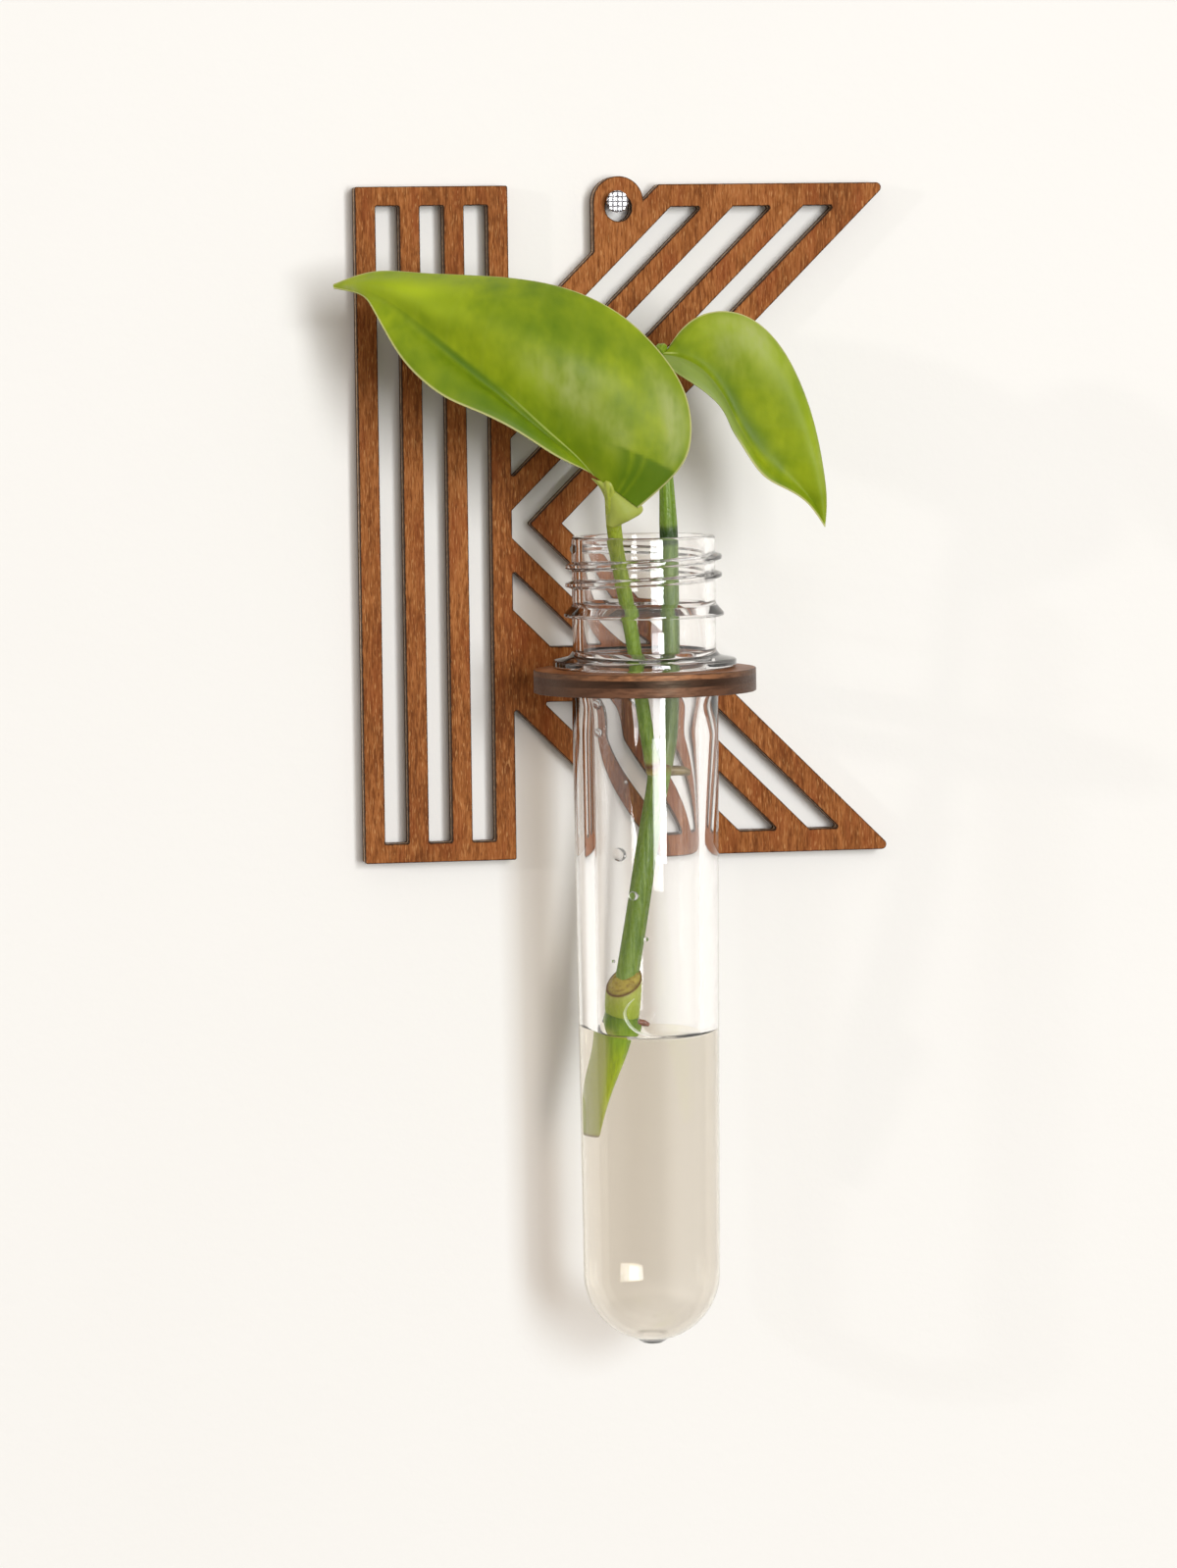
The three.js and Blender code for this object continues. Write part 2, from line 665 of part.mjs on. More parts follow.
// Rails of the large leaf, from its base by the petiole to its tip on the left.
const largeLeafRails = [
  [
    [-9.1, -10.9, 9.7], [-17.7, -14.1, 14.4], [-24.1, -14.4, 18.7], [-30.5, -13.7, 22.1],
    [-36.1, -12.3, 24.7], [-40.4, -10.3, 28.1], [-43.4, -7.9, 31.8], [-45.6, -5.3, 36],
    [-47.5, -2.3, 40.3], [-49.2, 0.5, 42.7], [-53.5, 4.2, 43.8],
  ],
  [
    [-8.7, -10.7, 10], [-16.5, -12.6, 15.6], [-22.3, -12.8, 20.4], [-28, -12.1, 24.6],
    [-33.3, -10.7, 28.3], [-37.8, -8.7, 31.9], [-41.4, -6.5, 35.2], [-44.5, -4, 38.6],
    [-47.2, -1.4, 41.4], [-49.6, 1.3, 43.2], [-53.5, 4.4, 44],
  ],
  [
    [-8.3, -10.5, 10.1], [-13.6, -11.7, 14.4], [-19, -12, 19.3], [-24.7, -11.1, 24.7],
    [-30.3, -9.6, 29.6], [-35.4, -7.7, 34], [-39.9, -5.6, 37.8], [-43.9, -3.5, 41],
    [-47.3, -1.2, 43.1], [-50.2, 1.5, 44.1], [-53.5, 4.5, 44.2],
  ],
  [
    [-7.8, -10.5, 9.7], [-7.5, -14.1, 14.2], [-9.6, -15.8, 21.2], [-14, -15.8, 27.7],
    [-20, -14.5, 33], [-26.5, -12.1, 37.4], [-33, -9.2, 40.7], [-39.1, -6, 43.1],
    [-44.6, -2.6, 44.8], [-49, 0.9, 45], [-53.5, 4.6, 44.3],
  ],
  [
    [-7.3, -10.7, 9], [-0.3, -13.9, 7.7], [5.2, -14.9, 13.7], [6, -14.5, 22.7],
    [2.1, -12.9, 31.2], [-5.8, -10.3, 38.9], [-16, -7.3, 43.7], [-27.5, -4.2, 45.5],
    [-38.5, -1.2, 46.2], [-46.4, 1.5, 46.6], [-53.5, 4.7, 44.5],
  ],
];

// Rails of the small leaf, from its base behind the large leaf to its tip on the right. Its left
// lobe is rolled up in front of the blade near the base, so its last rail crosses over the blade.
const smallLeafRails = [
  [
    [2.7, -8.2, 32.3], [4.4, -8.3, 35], [8.8, -8.9, 38.3], [14.7, -9.9, 38.7],
    [21.1, -10.9, 34.1], [25.8, -11.5, 27.6], [28.7, -11.7, 18.7], [30.3, -11.7, 10],
    [30.7, -11.9, 4.2], [30.4, -12.3, 0.3],
  ],
  [
    [2.5, -8.4, 31.9], [5, -9.5, 33.4], [9.4, -10.9, 34.9], [14.7, -12.2, 33.7],
    [19.8, -13.1, 29.1], [23.8, -13.5, 23], [26.7, -13.3, 16], [28.7, -12.9, 9],
    [29.7, -12.5, 3.8], [30.3, -12.3, 0.4],
  ],
  [
    [2.3, -8.6, 31.5], [4.7, -9.3, 31], [8, -10.1, 29.2], [12, -10.9, 26],
    [15.4, -11.3, 21.4], [18.7, -11.5, 16.8], [21.9, -11.5, 13], [25.2, -11.5, 9],
    [28.1, -11.7, 4.8], [30.2, -12.4, 0.4],
  ],
  [
    [2, -9.2, 31], [3.7, -10.5, 29.4], [6.4, -11.3, 28], [10.2, -12, 24.4],
    [13.4, -12.5, 20.3], [16.4, -12.7, 15.2], [19.6, -12.7, 11.2], [23.4, -12.5, 8.2],
    [27.1, -12.4, 4.7], [30.1, -12.5, 0.4],
  ],
  [
    [1.7, -10.7, 31.9], [3.8, -12.5, 31.8], [7, -13.6, 29], [10.4, -13.9, 25.7],
    [13, -13.7, 21], [15.2, -13.5, 15.9], [18.2, -13.3, 11.3], [22.4, -12.9, 8.1],
    [26.6, -12.7, 5.2], [30, -12.6, 0.5],
  ],
];

function leafLarge() {
  return blade(largeLeafRails);
}

function leafSmall() {
  return blade(smallLeafRails);
}

function rootNub(route, radius) {
  return stemAlong(route, (t) => radius * (1 - 0.45 * t * t), 5, 8);
}

// The water stands in the tube and climbs a little at its wall; the stem passes into it.
function waterFill() {
  const level = -WATER_DROP;
  const wall = boreRadiusAt(level, WET_GAP);
  const surface = [
    [wall, level + MENISCUS],
    [wall - 0.35, level + MENISCUS * 0.4],
    [wall - 1.0, level + MENISCUS * 0.1],
    [wall - 2.2, level],
    [0, level],
  ];
  const inside = domeProfile(innerEndRadius - WET_GAP, -domeDrop, 9).reverse();
  const water = solidOf(turned([...inside, ...surface], 40));
  const lowerNub = solidOf(rootNub(lowerNubRoute, LOWER_NUB_RADIUS + WET_GAP));
  const drowned = [stemSolid(WET_GAP), stemEndPocket(WET_GAP), sheathSolid(WET_GAP), lowerNub];
  return geometryOf(drowned.reduce((rest, body) => rest.subtract(body), water));
}

// Assembly

const station = new THREE.Group();
const hung = new THREE.Group();
hung.position.copy(hungAt);
station.add(hung);
const vessel = new THREE.Group();
vessel.position.set(ringX, ringY, rimZ);
hung.add(vessel);

const finish = (color, roughness, metalness = 0, extra = {}) =>
  new THREE.MeshStandardMaterial({ color, roughness, metalness, flatShading: true, ...extra });
const steel = finish(0xb9bcc0, 0.35, 0.9);
const stainedPly = finish(0x8a5230, 0.6);
const clearPlastic = finish(0xe8eef0, 0.08, 0, { transparent: true, opacity: 0.3 });
const waterTint = finish(0xd9d8c8, 0.05, 0, { transparent: true, opacity: 0.4 });
const stemGreen = finish(0x6f9a3e, 0.45);
const leafGreen = finish(0x7fae1c, 0.4);
const rootBrown = finish(0x8a6a45, 0.8);

function place(parent, name, geometry, material) {
  const mesh = new THREE.Mesh(geometry, material);
  mesh.name = name;
  parent.add(mesh);
}

place(station, "wall_nail", wallNail(), steel);
place(hung, "letter_panel", letterPanel(), stainedPly);
place(hung, "ring_shelf", ringShelf(), stainedPly);
place(vessel, "preform_tube", preformTube(), clearPlastic);
place(vessel, "water", waterFill(), waterTint);
place(vessel, "cutting_stem", cuttingStem(), stemGreen);
place(vessel, "petiole_large", petioleLarge(), stemGreen);
place(vessel, "leaf_large", leafLarge(), leafGreen);
place(vessel, "shoot_small", shootSmall(), stemGreen);
place(vessel, "leaf_small", leafSmall(), leafGreen);
place(vessel, "root_nub_upper", rootNub(upperNubRoute, UPPER_NUB_RADIUS), rootBrown);
place(vessel, "root_nub_lower", rootNub(lowerNubRoute, LOWER_NUB_RADIUS), rootBrown);

export default station;
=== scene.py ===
"""Looks of a wall-hung propagation station.

A striped plywood letter hangs on a nail. A plywood ring tenoned into it carries a clear moulded tube
with water and a two-leaved cutting. Sizes are in millimetres and become metres in the meshes.
"""

import logging
import math
from collections.abc import Callable, Sequence
from dataclasses import dataclass, field
from enum import Enum
from typing import Protocol

import bpy
import numpy as np
from mathutils import Matrix, Vector
from mathutils.geometry import tessellate_polygon

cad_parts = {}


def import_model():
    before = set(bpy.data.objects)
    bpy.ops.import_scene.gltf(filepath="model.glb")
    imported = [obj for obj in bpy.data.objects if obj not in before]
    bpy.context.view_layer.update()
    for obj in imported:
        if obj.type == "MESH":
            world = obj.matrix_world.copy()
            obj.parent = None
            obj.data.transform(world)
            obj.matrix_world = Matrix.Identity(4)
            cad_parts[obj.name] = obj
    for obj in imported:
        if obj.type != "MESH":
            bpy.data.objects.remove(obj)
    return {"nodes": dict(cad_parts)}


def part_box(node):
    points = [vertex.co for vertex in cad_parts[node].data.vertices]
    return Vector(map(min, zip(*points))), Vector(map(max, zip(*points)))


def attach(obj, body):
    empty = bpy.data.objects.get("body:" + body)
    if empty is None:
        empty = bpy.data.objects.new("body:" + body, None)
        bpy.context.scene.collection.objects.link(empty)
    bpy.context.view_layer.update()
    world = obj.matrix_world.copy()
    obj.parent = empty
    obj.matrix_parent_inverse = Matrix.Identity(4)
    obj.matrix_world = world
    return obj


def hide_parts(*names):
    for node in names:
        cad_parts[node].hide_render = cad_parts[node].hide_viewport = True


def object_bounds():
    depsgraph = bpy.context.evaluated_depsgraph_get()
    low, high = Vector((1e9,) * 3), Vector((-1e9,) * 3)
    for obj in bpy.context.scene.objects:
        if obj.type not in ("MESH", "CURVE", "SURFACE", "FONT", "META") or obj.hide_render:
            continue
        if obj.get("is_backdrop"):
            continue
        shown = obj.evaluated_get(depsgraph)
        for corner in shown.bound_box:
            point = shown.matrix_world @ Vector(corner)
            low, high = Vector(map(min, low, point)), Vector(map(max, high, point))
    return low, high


LOG = logging.getLogger("propagation_station")
MM = 0.001
Colour = tuple[float, float, float]
Point = tuple[float, float, float]
Corner = tuple[float, float, float]
Knots = tuple[tuple[float, float], ...]
Stops = Sequence[tuple[float, Colour]]
Socket = bpy.types.NodeSocket
Feed = Socket | float | Sequence[float]


class Body(Enum):
    """The bodies of the frame that pieces ride on."""

    NAIL = "nail"
    PANEL = "panel"
    TUBE = "tube"
    CUTTING = "cutting"


class Grain(Enum):
    """The way the face veneer's fibres run, as the scale of the pattern along X, Y and Z."""

    UPRIGHT = (1.0, 1.0, 0.12)
    LEVEL = (0.12, 1.0, 1.0)


# Numbers and grids


def spline_weights(count: int, places: np.ndarray) -> np.ndarray:
    """Weights of a natural cubic spline through evenly spaced knots.

    The second derivatives m solve m[i-1] + 4 m[i] + m[i+1] = 6 (p[i-1] - 2 p[i] + p[i+1]) with m = 0 at
    both ends. Between knots i and i+1, with f the share of the way and g = 1 - f, the curve is
    g p[i] + f p[i+1] + ((g^3 - g) m[i] + (f^3 - f) m[i+1]) / 6.

    Args:
        count: How many knots there are.
        places: Where the curve is wanted, from 0 at the first knot to 1 at the last.

    Returns:
        One row of weights over the knots for each place.
    """
    inner = np.eye(count)
    inner[1:-1, 1:-1] *= 4.0
    rows = np.arange(1, count - 1)
    inner[rows, rows - 1] = 1.0
    inner[rows, rows + 1] = 1.0
    bend = np.zeros((count, count))
    bend[rows, rows - 1] = 6.0
    bend[rows, rows] = -12.0
    bend[rows, rows + 1] = 6.0
    second = np.linalg.solve(inner, bend)
    position = np.clip(places, 0.0, 1.0) * (count - 1)
    left = np.minimum(position.astype(int), count - 2)
    f = (position - left)[:, None]
    g = 1.0 - f
    eye = np.eye(count)
    straight = g * eye[left] + f * eye[left + 1]
    return straight + ((g**3 - g) * second[left] + (f**3 - f) * second[left + 1]) / 6.0


def smooth_step(value: np.ndarray) -> np.ndarray:
    """3 t^2 - 2 t^3 of the value held between 0 and 1."""
    t = np.clip(value, 0.0, 1.0)
    return t * t * (3.0 - 2.0 * t)


def knotted(places: np.ndarray, knots: Knots, blur: float = 0.02) -> np.ndarray:
    """Values on straight lines from knot to knot, averaged over a short stretch to round the bends.

    Args:
        places: Where the values are wanted.
        knots: Pairs of place and value, in order.
        blur: Half the stretch of the average.

    Returns:
        One value for each place.
    """
    spread = np.linspace(-blur, blur, 9)
    return np.interp(places[:, None] + spread, [k[0] for k in knots], [k[1] for k in knots]).mean(axis=1)


def rounded_outline(corners: Sequence[Corner], steps: int = 6) -> np.ndarray:
    """A closed outline whose corners are arcs tangent to both their edges.

    With h half the angle between the edges, the arc of radius r starts r / tan(h) from the corner.

    Args:
        corners: X, height and radius of each corner, in order.
        steps: Pieces of each arc.

    Returns:
        The outline's points, two columns.
    """
    given = np.array(corners, float)
    corner = given[:, :2]
    before = np.roll(corner, 1, axis=0) - corner
    after = np.roll(corner, -1, axis=0) - corner
    reach_before = np.linalg.norm(before, axis=1)
    reach_after = np.linalg.norm(after, axis=1)
    before /= reach_before[:, None]
    after /= reach_after[:, None]
    half = np.arccos(np.clip((before * after).sum(axis=1), -1.0, 1.0)) / 2.0
    run = np.minimum(given[:, 2] / np.tan(half), 0.45 * np.minimum(reach_before, reach_after))
    middle = before + after
    middle /= np.maximum(np.linalg.norm(middle, axis=1), 1e-9)[:, None]
    centre = corner + middle * (run / np.cos(half))[:, None]
    start = corner + before * run[:, None] - centre
    end = corner + after * run[:, None] - centre
    first = np.arctan2(start[:, 1], start[:, 0])
    sweep = (np.arctan2(end[:, 1], end[:, 0]) - first + np.pi) % (2.0 * np.pi) - np.pi
    radius = np.linalg.norm(start, axis=1)
    angle = first[:, None] + sweep[:, None] * np.linspace(0.0, 1.0, steps + 1)[None]
    arcs = centre[:, None] + radius[:, None, None] * np.stack([np.cos(angle), np.sin(angle)], axis=2)
    outline = arcs.reshape(-1, 2)
    gap = np.linalg.norm(outline - np.roll(outline, 1, axis=0), axis=1)
    return outline[gap > 1e-5]


def upright_box(left: float, right: float, low: float, high: float, radius: float) -> np.ndarray:
    """The outline of an upright rectangle with rounded corners."""
    corners = ((left, high), (left, low), (right, low), (right, high))
    return rounded_outline([(x, y, radius) for x, y in corners])


def turns(count: int) -> np.ndarray:
    """Evenly spaced angles of a full turn, the first not repeated."""
    return np.linspace(0.0, 2.0 * np.pi, count, endpoint=False)


def circle(x: float, y: float, radius: float, count: int) -> np.ndarray:
    """Points (x + r cos a, y + r sin a) of a circle, the first not repeated."""
    angle = turns(count)
    return np.stack([x + radius * np.cos(angle), y + radius * np.sin(angle)], axis=1)


def turned_way(outline: np.ndarray, inside_left: bool) -> np.ndarray:
    """The outline in the order that keeps its enclosed side on one hand.

    Twice its area is the sum of x[i] y[i+1] - x[i+1] y[i], positive where that side is on the left.

    Args:
        outline: The outline's points, two columns.
        inside_left: Whether the enclosed side is wanted on the left.

    Returns:
        The outline, reversed where it ran the other way.
    """
    x, y = outline.T
    area = np.sum(x * np.roll(y, -1) - np.roll(x, -1) * y)
    return outline if (area > 0) == inside_left else outline[::-1]


def inset(outline: np.ndarray, depth: float) -> np.ndarray:
    """The outline moved to its left: each corner by depth / cos(half its turn) along its mitre.

    Args:
        outline: The outline's points, two columns.
        depth: How far its edges move.

    Returns:
        The moved points.
    """
    ahead = np.roll(outline, -1, axis=0) - outline
    ahead /= np.linalg.norm(ahead, axis=1)[:, None]
    left = np.stack([-ahead[:, 1], ahead[:, 0]], axis=1)
    mitre = left + np.roll(left, 1, axis=0)
    mitre /= np.linalg.norm(mitre, axis=1)[:, None]
    return outline + mitre * (depth / np.maximum((mitre * left).sum(axis=1), 0.4))[:, None]


def grid_quads(rows: int, columns: int, closed: bool) -> np.ndarray:
    """Quads between neighbouring rows of a grid whose points count on from row to row.

    Args:
        rows: Rows of the grid.
        columns: Points of each row.
        closed: Whether each row joins round to its first point.

    Returns:
        Four point numbers for each quad.
    """
    across = columns if closed else columns - 1
    r, c = np.meshgrid(np.arange(rows - 1), np.arange(across), indexing="ij")
    r, c = r.ravel(), c.ravel()
    d = (c + 1) % columns
    return np.stack([r * columns + c, r * columns + d, (r + 1) * columns + d, (r + 1) * columns + c], axis=1)


def run_along(path: np.ndarray) -> np.ndarray:
    """Length along a path up to each of its points, from 0."""
    return np.concatenate([[0.0], np.cumsum(np.linalg.norm(np.diff(path, axis=0), axis=1))])


def resampled(path: np.ndarray, length: np.ndarray, marks: np.ndarray) -> np.ndarray:
    """Points on the straight stretches of a path, at marked lengths along it."""
    return np.stack([np.interp(marks, length, column) for column in path.T], axis=1)


def upright_frames(path: np.ndarray, aside: Point) -> tuple[np.ndarray, np.ndarray]:
    """Two directions across a path: aside less its share along the path, and the path's turn of it.

    Args:
        path: The path's points.
        aside: A direction that the path never runs along.

    Returns:
        The two unit directions at each point.
    """
    along = np.gradient(path, axis=0)
    along /= np.linalg.norm(along, axis=1)[:, None]
    side = np.array(aside)[None] - along * (along @ np.array(aside))[:, None]
    side /= np.linalg.norm(side, axis=1)[:, None]
    return side, np.cross(along, side)


# Meshes


@dataclass
class Surface:
    """A mesh in millimetres: points, faces, and values kept on the points."""

    points: np.ndarray
    quads: np.ndarray
    triangles: np.ndarray = field(default_factory=lambda: np.zeros((0, 3), int))
    values: dict[str, np.ndarray] = field(default_factory=dict)

    def outward(self) -> "Surface":
        """Turns the faces so that the signed volume, a sixth of the sum of a . (b x c), is positive.

        Returns:
            The surface itself, or a copy with every face reversed.
        """
        halves = np.vstack([self.quads[:, [0, 1, 2]], self.quads[:, [0, 2, 3]], self.triangles])
        a, b, c = (self.points[halves[:, k]] for k in range(3))
        if np.sum(a * np.cross(b, c)) > 0:
            return self
        return Surface(self.points, self.quads[:, ::-1], self.triangles[:, ::-1], self.values)

    def build(self, name: str, material: bpy.types.Material, smooth_angle: float = 40.0) -> bpy.types.Object:
        """Makes the object at the origin, its place kept in its points.

        Args:
            name: Name of the object and its mesh.
            material: What its faces are made of.
            smooth_angle: Edges bent by more than this many degrees stay sharp.

        Returns:
            The new object.
        """
        mesh = bpy.data.meshes.new(name)
        corners = np.concatenate([self.quads.ravel(), self.triangles.ravel()]).astype(np.int32)
        sizes = np.concatenate([np.full(len(self.quads), 4), np.full(len(self.triangles), 3)])
        starts = np.concatenate([[0], np.cumsum(sizes)[:-1]])
        mesh.vertices.add(len(self.points))
        mesh.vertices.foreach_set("co", (self.points * MM).astype(np.float32).ravel())
        mesh.loops.add(len(corners))
        mesh.loops.foreach_set("vertex_index", corners)
        mesh.polygons.add(len(sizes))
        mesh.polygons.foreach_set("loop_start", starts.astype(np.int32))
        mesh.polygons.foreach_set("use_smooth", np.ones(len(sizes), bool))
        for key, value in self.values.items():
            attribute = mesh.attributes.new(key, "FLOAT", "POINT")
            attribute.data.foreach_set("value", value.astype(np.float32))
        mesh.update(calc_edges=True)
        mesh.validate()
        mesh.set_sharp_from_angle(angle=math.radians(smooth_angle))
        mesh.materials.append(material)
        made = bpy.data.objects.new(name, mesh)
        bpy.context.scene.collection.objects.link(made)
        return made


def joined(surfaces: Sequence[Surface]) -> Surface:
    """Several surfaces without point values as one.

    Args:
        surfaces: The surfaces, in the order that their points take.

    Returns:
        The one surface.
    """
    shifts = np.cumsum([0] + [len(s.points) for s in surfaces[:-1]])
    return Surface(
        np.vstack([s.points for s in surfaces]),
        np.vstack([s.quads + k for s, k in zip(surfaces, shifts)]),
        np.vstack([s.triangles + k for s, k in zip(surfaces, shifts)]),
    )


def capped(grid: np.ndarray, low: Sequence[float], high: Sequence[float]) -> Surface:
    """Rings of points as a closed surface, each end fanned to a pole.

    Args:
        grid: Points by ring, column and axis.
        low: The pole beside the first ring.
        high: The pole beside the last ring.

    Returns:
        The surface, with the two poles as its last points.
    """
    rows, columns = grid.shape[:2]
    column = np.arange(columns)
    after = (column + 1) % columns
    last = (rows - 1) * columns
    pole = np.full(columns, rows * columns)
    fans = np.vstack([
        np.stack([pole, after, column], axis=1),
        np.stack([pole + 1, last + column, last + after], axis=1),
    ])
    points = np.vstack([grid.reshape(-1, 3), [low, high]])
    return Surface(points, grid_quads(rows, columns, True), fans).outward()


def ring_values(rings: np.ndarray, columns: int) -> np.ndarray:
    """A value of each ring, repeated round it, then 0 for the low pole and 1 for the high one."""
    return np.concatenate([np.repeat(rings, columns), [0.0, 1.0]])


def revolved(profile: np.ndarray, segments: int, swell: np.ndarray | float = 0.0) -> Surface:
    """A profile turned about the upright axis: (r cos a, r sin a, z), closed at both ends on the axis.

    Args:
        profile: Radius and height of each row; the first and last lie on the axis.
        segments: Columns round the axis.
        swell: Added to the radius, for each inner row and column.

    Returns:
        The closed surface, with its poles as one point each.
    """
    rings = profile[1:-1]
    angle = turns(segments)
    height = np.repeat(rings[:, 1:], segments, axis=1)
    wide = np.broadcast_to(rings[:, :1] + swell, height.shape)
    grid = np.stack([wide * np.cos(angle), wide * np.sin(angle), height], axis=2)
    return capped(grid, (0.0, 0.0, profile[0, 1]), (0.0, 0.0, profile[-1, 1]))


def swept(path: np.ndarray, radii: np.ndarray, aside: Point = (1.0, 0.0, 0.0)) -> Surface:
    """A round body along a path: centre + r(row, a) (cos a side + sin a turn), with its ends closed.

    Args:
        path: Centre of each row.
        radii: Radius for each row and column.
        aside: A direction that the path never runs along.

    Returns:
        The closed surface, with the share of the length as "along".
    """
    side, turn = upright_frames(path, aside)
    angle = turns(radii.shape[1])[None, :, None]
    around = np.cos(angle) * side[:, None] + np.sin(angle) * turn[:, None]
    made = capped(path[:, None] + radii[:, :, None] * around, path[0], path[-1])
    length = run_along(path)
    made.values["along"] = ring_values(length / length[-1], radii.shape[1])
    return made


class Finish(Protocol):
    """What a piece's faces are made of."""

    def material(self) -> bpy.types.Material:
        """Makes the material."""


@dataclass(frozen=True)
class Piece:
    """A piece's name, the body that it rides on, its slot and the solid that it stands in for, if any."""

    name: str
    body: Body
    slot: str
    replaced: str = ""
    smooth_angle: float = 60.0

    def make(self, surface: Surface, finish: Finish, seat: Point = (0.0, 0.0, 0.0)) -> bpy.types.Object:
        """Makes the piece and ties it to the frame.

        Args:
            surface: The mesh, from its seat.
            finish: The finish of its faces.
            seat: Where the mesh's own zero lies in the frame.

        Returns:
            The new object.
        """
        surface.points += np.array(seat)
        made = surface.build(self.name, finish.material(), self.smooth_angle)
        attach(made, self.body.value)
        if self.replaced:
            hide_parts(self.replaced)
        return made


# Materials


class Shading:
    """A node tree under construction: a new material's, or the given world's."""

    def __init__(self, name: str, world: bpy.types.World | None = None) -> None:
        """Starts an empty tree.

        Args:
            name: The new material's name.
            world: The world whose tree is built instead.
        """
        self.owner = world or bpy.data.materials.new(name)
        self.owner.use_nodes = True
        self.tree = self.owner.node_tree
        self.tree.nodes.clear()

    def node(self, kind: str, settings: dict | None = None, **inputs: Feed) -> bpy.types.Node:
        """Adds a node.

        Args:
            kind: Node type, without the leading "ShaderNode".
            settings: Properties of the node.
            inputs: Values or sockets for its inputs, spaces written as underscores.

        Returns:
            The new node.
        """
        made = self.tree.nodes.new("ShaderNode" + kind)
        for key, value in (settings or {}).items():
            setattr(made, key, value)
        for key, value in inputs.items():
            self.feed(made.inputs[key.replace("_", " ")], value)
        return made

    def feed(self, socket: Socket, value: Feed) -> None:
        """Links another node's socket to this one, or sets it to a constant.

        Args:
            socket: The input.
            value: A socket, a number, or a colour or vector as a tuple.
        """
        if isinstance(value, Socket):
            self.tree.links.new(value, socket)
        elif isinstance(value, tuple) and len(value) == 3 and socket.type == "RGBA":
            socket.default_value = (*value, 1.0)
        else:
            socket.default_value = value

    def place(self, scale: Point = (1.0, 1.0, 1.0)) -> Socket:
        """Object coordinates in metres, stretched by a scale."""
        coordinates = self.node("TexCoord").outputs["Object"]
        return self.node("Mapping", Vector=coordinates, Scale=scale).outputs["Vector"]

    def value(self, name: str) -> Socket:
        """A value kept on the mesh's points."""
        return self.node("Attribute", {"attribute_name": name}).outputs["Fac"]

    def noise(self, vector: Socket, scale: float, detail: float = 3.0) -> Socket:
        """Soft noise from 0 to 1 with that many cells a metre."""
        made = self.node("TexNoise", Vector=vector, Scale=scale, Detail=detail, Roughness=0.6)
        return made.outputs["Fac"]

    def maths(self, operation: str, first: Feed, second: Feed = 0.0, clamp: bool = False) -> Socket:
        """One arithmetic step.

        Args:
            operation: Name of the operation.
            first: Its first value or socket.
            second: Its second one.
            clamp: Whether the result is held between 0 and 1.

        Returns:
            The result's socket.
        """
        made = self.node("Math", {"operation": operation, "use_clamp": clamp})
        self.feed(made.inputs[0], first)
        self.feed(made.inputs[1], second)
        return made.outputs[0]

    def weighted(self, first: Feed, first_weight: float, second: Feed, second_weight: float) -> Socket:
        """The sum of two values, each times its weight."""
        first = self.maths("MULTIPLY", first, first_weight)
        return self.maths("ADD", first, self.maths("MULTIPLY", second, second_weight))

    def ramp(self, share: Socket, stops: Stops) -> Socket:
        """A colour that passes through stops.

        Args:
            share: The socket that goes from 0 to 1.
            stops: Pairs of place and colour, in order.

        Returns:
            The colour's socket.
        """
        made = self.node("ValToRGB", Fac=share)
        elements = made.color_ramp.elements
        elements[0].position, elements[0].color = stops[0][0], (*stops[0][1], 1.0)
        elements[1].position, elements[1].color = stops[-1][0], (*stops[-1][1], 1.0)
        for position, colour in stops[1:-1]:
            elements.new(position).color = (*colour, 1.0)
        return made.outputs["Color"]

    def between(self, share: Feed, low: Feed, high: Feed, mode: str = "MIX") -> Socket:
        """A mix of two colours.

        Args:
            share: 0 for all of the first colour, 1 for all of the second.
            low: The first colour or its socket.
            high: The second one.
            mode: How they are mixed.

        Returns:
            The mixed colour's socket.
        """
        made = self.node("Mix", {"data_type": "RGBA", "blend_type": mode})
        self.feed(made.inputs[0], share)
        self.feed(made.inputs[6], low)
        self.feed(made.inputs[7], high)
        return made.outputs[2]

    def rescaled(
        self, value: Feed, low: float, high: float, to_low: float = 0.0, to_high: float = 1.0
    ) -> Socket:
        """The value carried evenly from low and high to to_low and to_high, and held there."""
        ends = {"From_Min": low, "From_Max": high, "To_Min": to_low, "To_Max": to_high}
        return self.node("MapRange", {"clamp": True}, Value=value, **ends).outputs["Result"]

    def bump(self, height: Socket, distance_mm: float) -> Socket:
        """The normal of a relief of that height."""
        return self.node("Bump", Height=height, Distance=distance_mm * MM, Strength=1.0).outputs["Normal"]

    def mixed(self, share: Socket, low: Socket, high: Socket) -> Socket:
        """A mix of two shaders.

        Args:
            share: 0 for all of the first shader, 1 for all of the second.
            low: The first shader.
            high: The second one.

        Returns:
            The mixed shader's socket.
        """
        made = self.node("MixShader", Fac=share)
        self.feed(made.inputs[1], low)
        self.feed(made.inputs[2], high)
        return made.outputs[0]

    def principled(self, **inputs: Feed) -> Socket:
        """The general shader with those inputs, spaces written as underscores."""
        return self.node("BsdfPrincipled", **inputs).outputs["BSDF"]

    def finish(self, shader: Socket, kind: str = "Material") -> bpy.types.ID:
        """Puts the shader out.

        Args:
            shader: The shader.
            kind: "Material", or "World" in the world's tree.

        Returns:
            The material or the world.
        """
        out = self.node("Output" + kind)
        self.tree.links.new(shader, out.inputs["Surface"])
        return self.owner


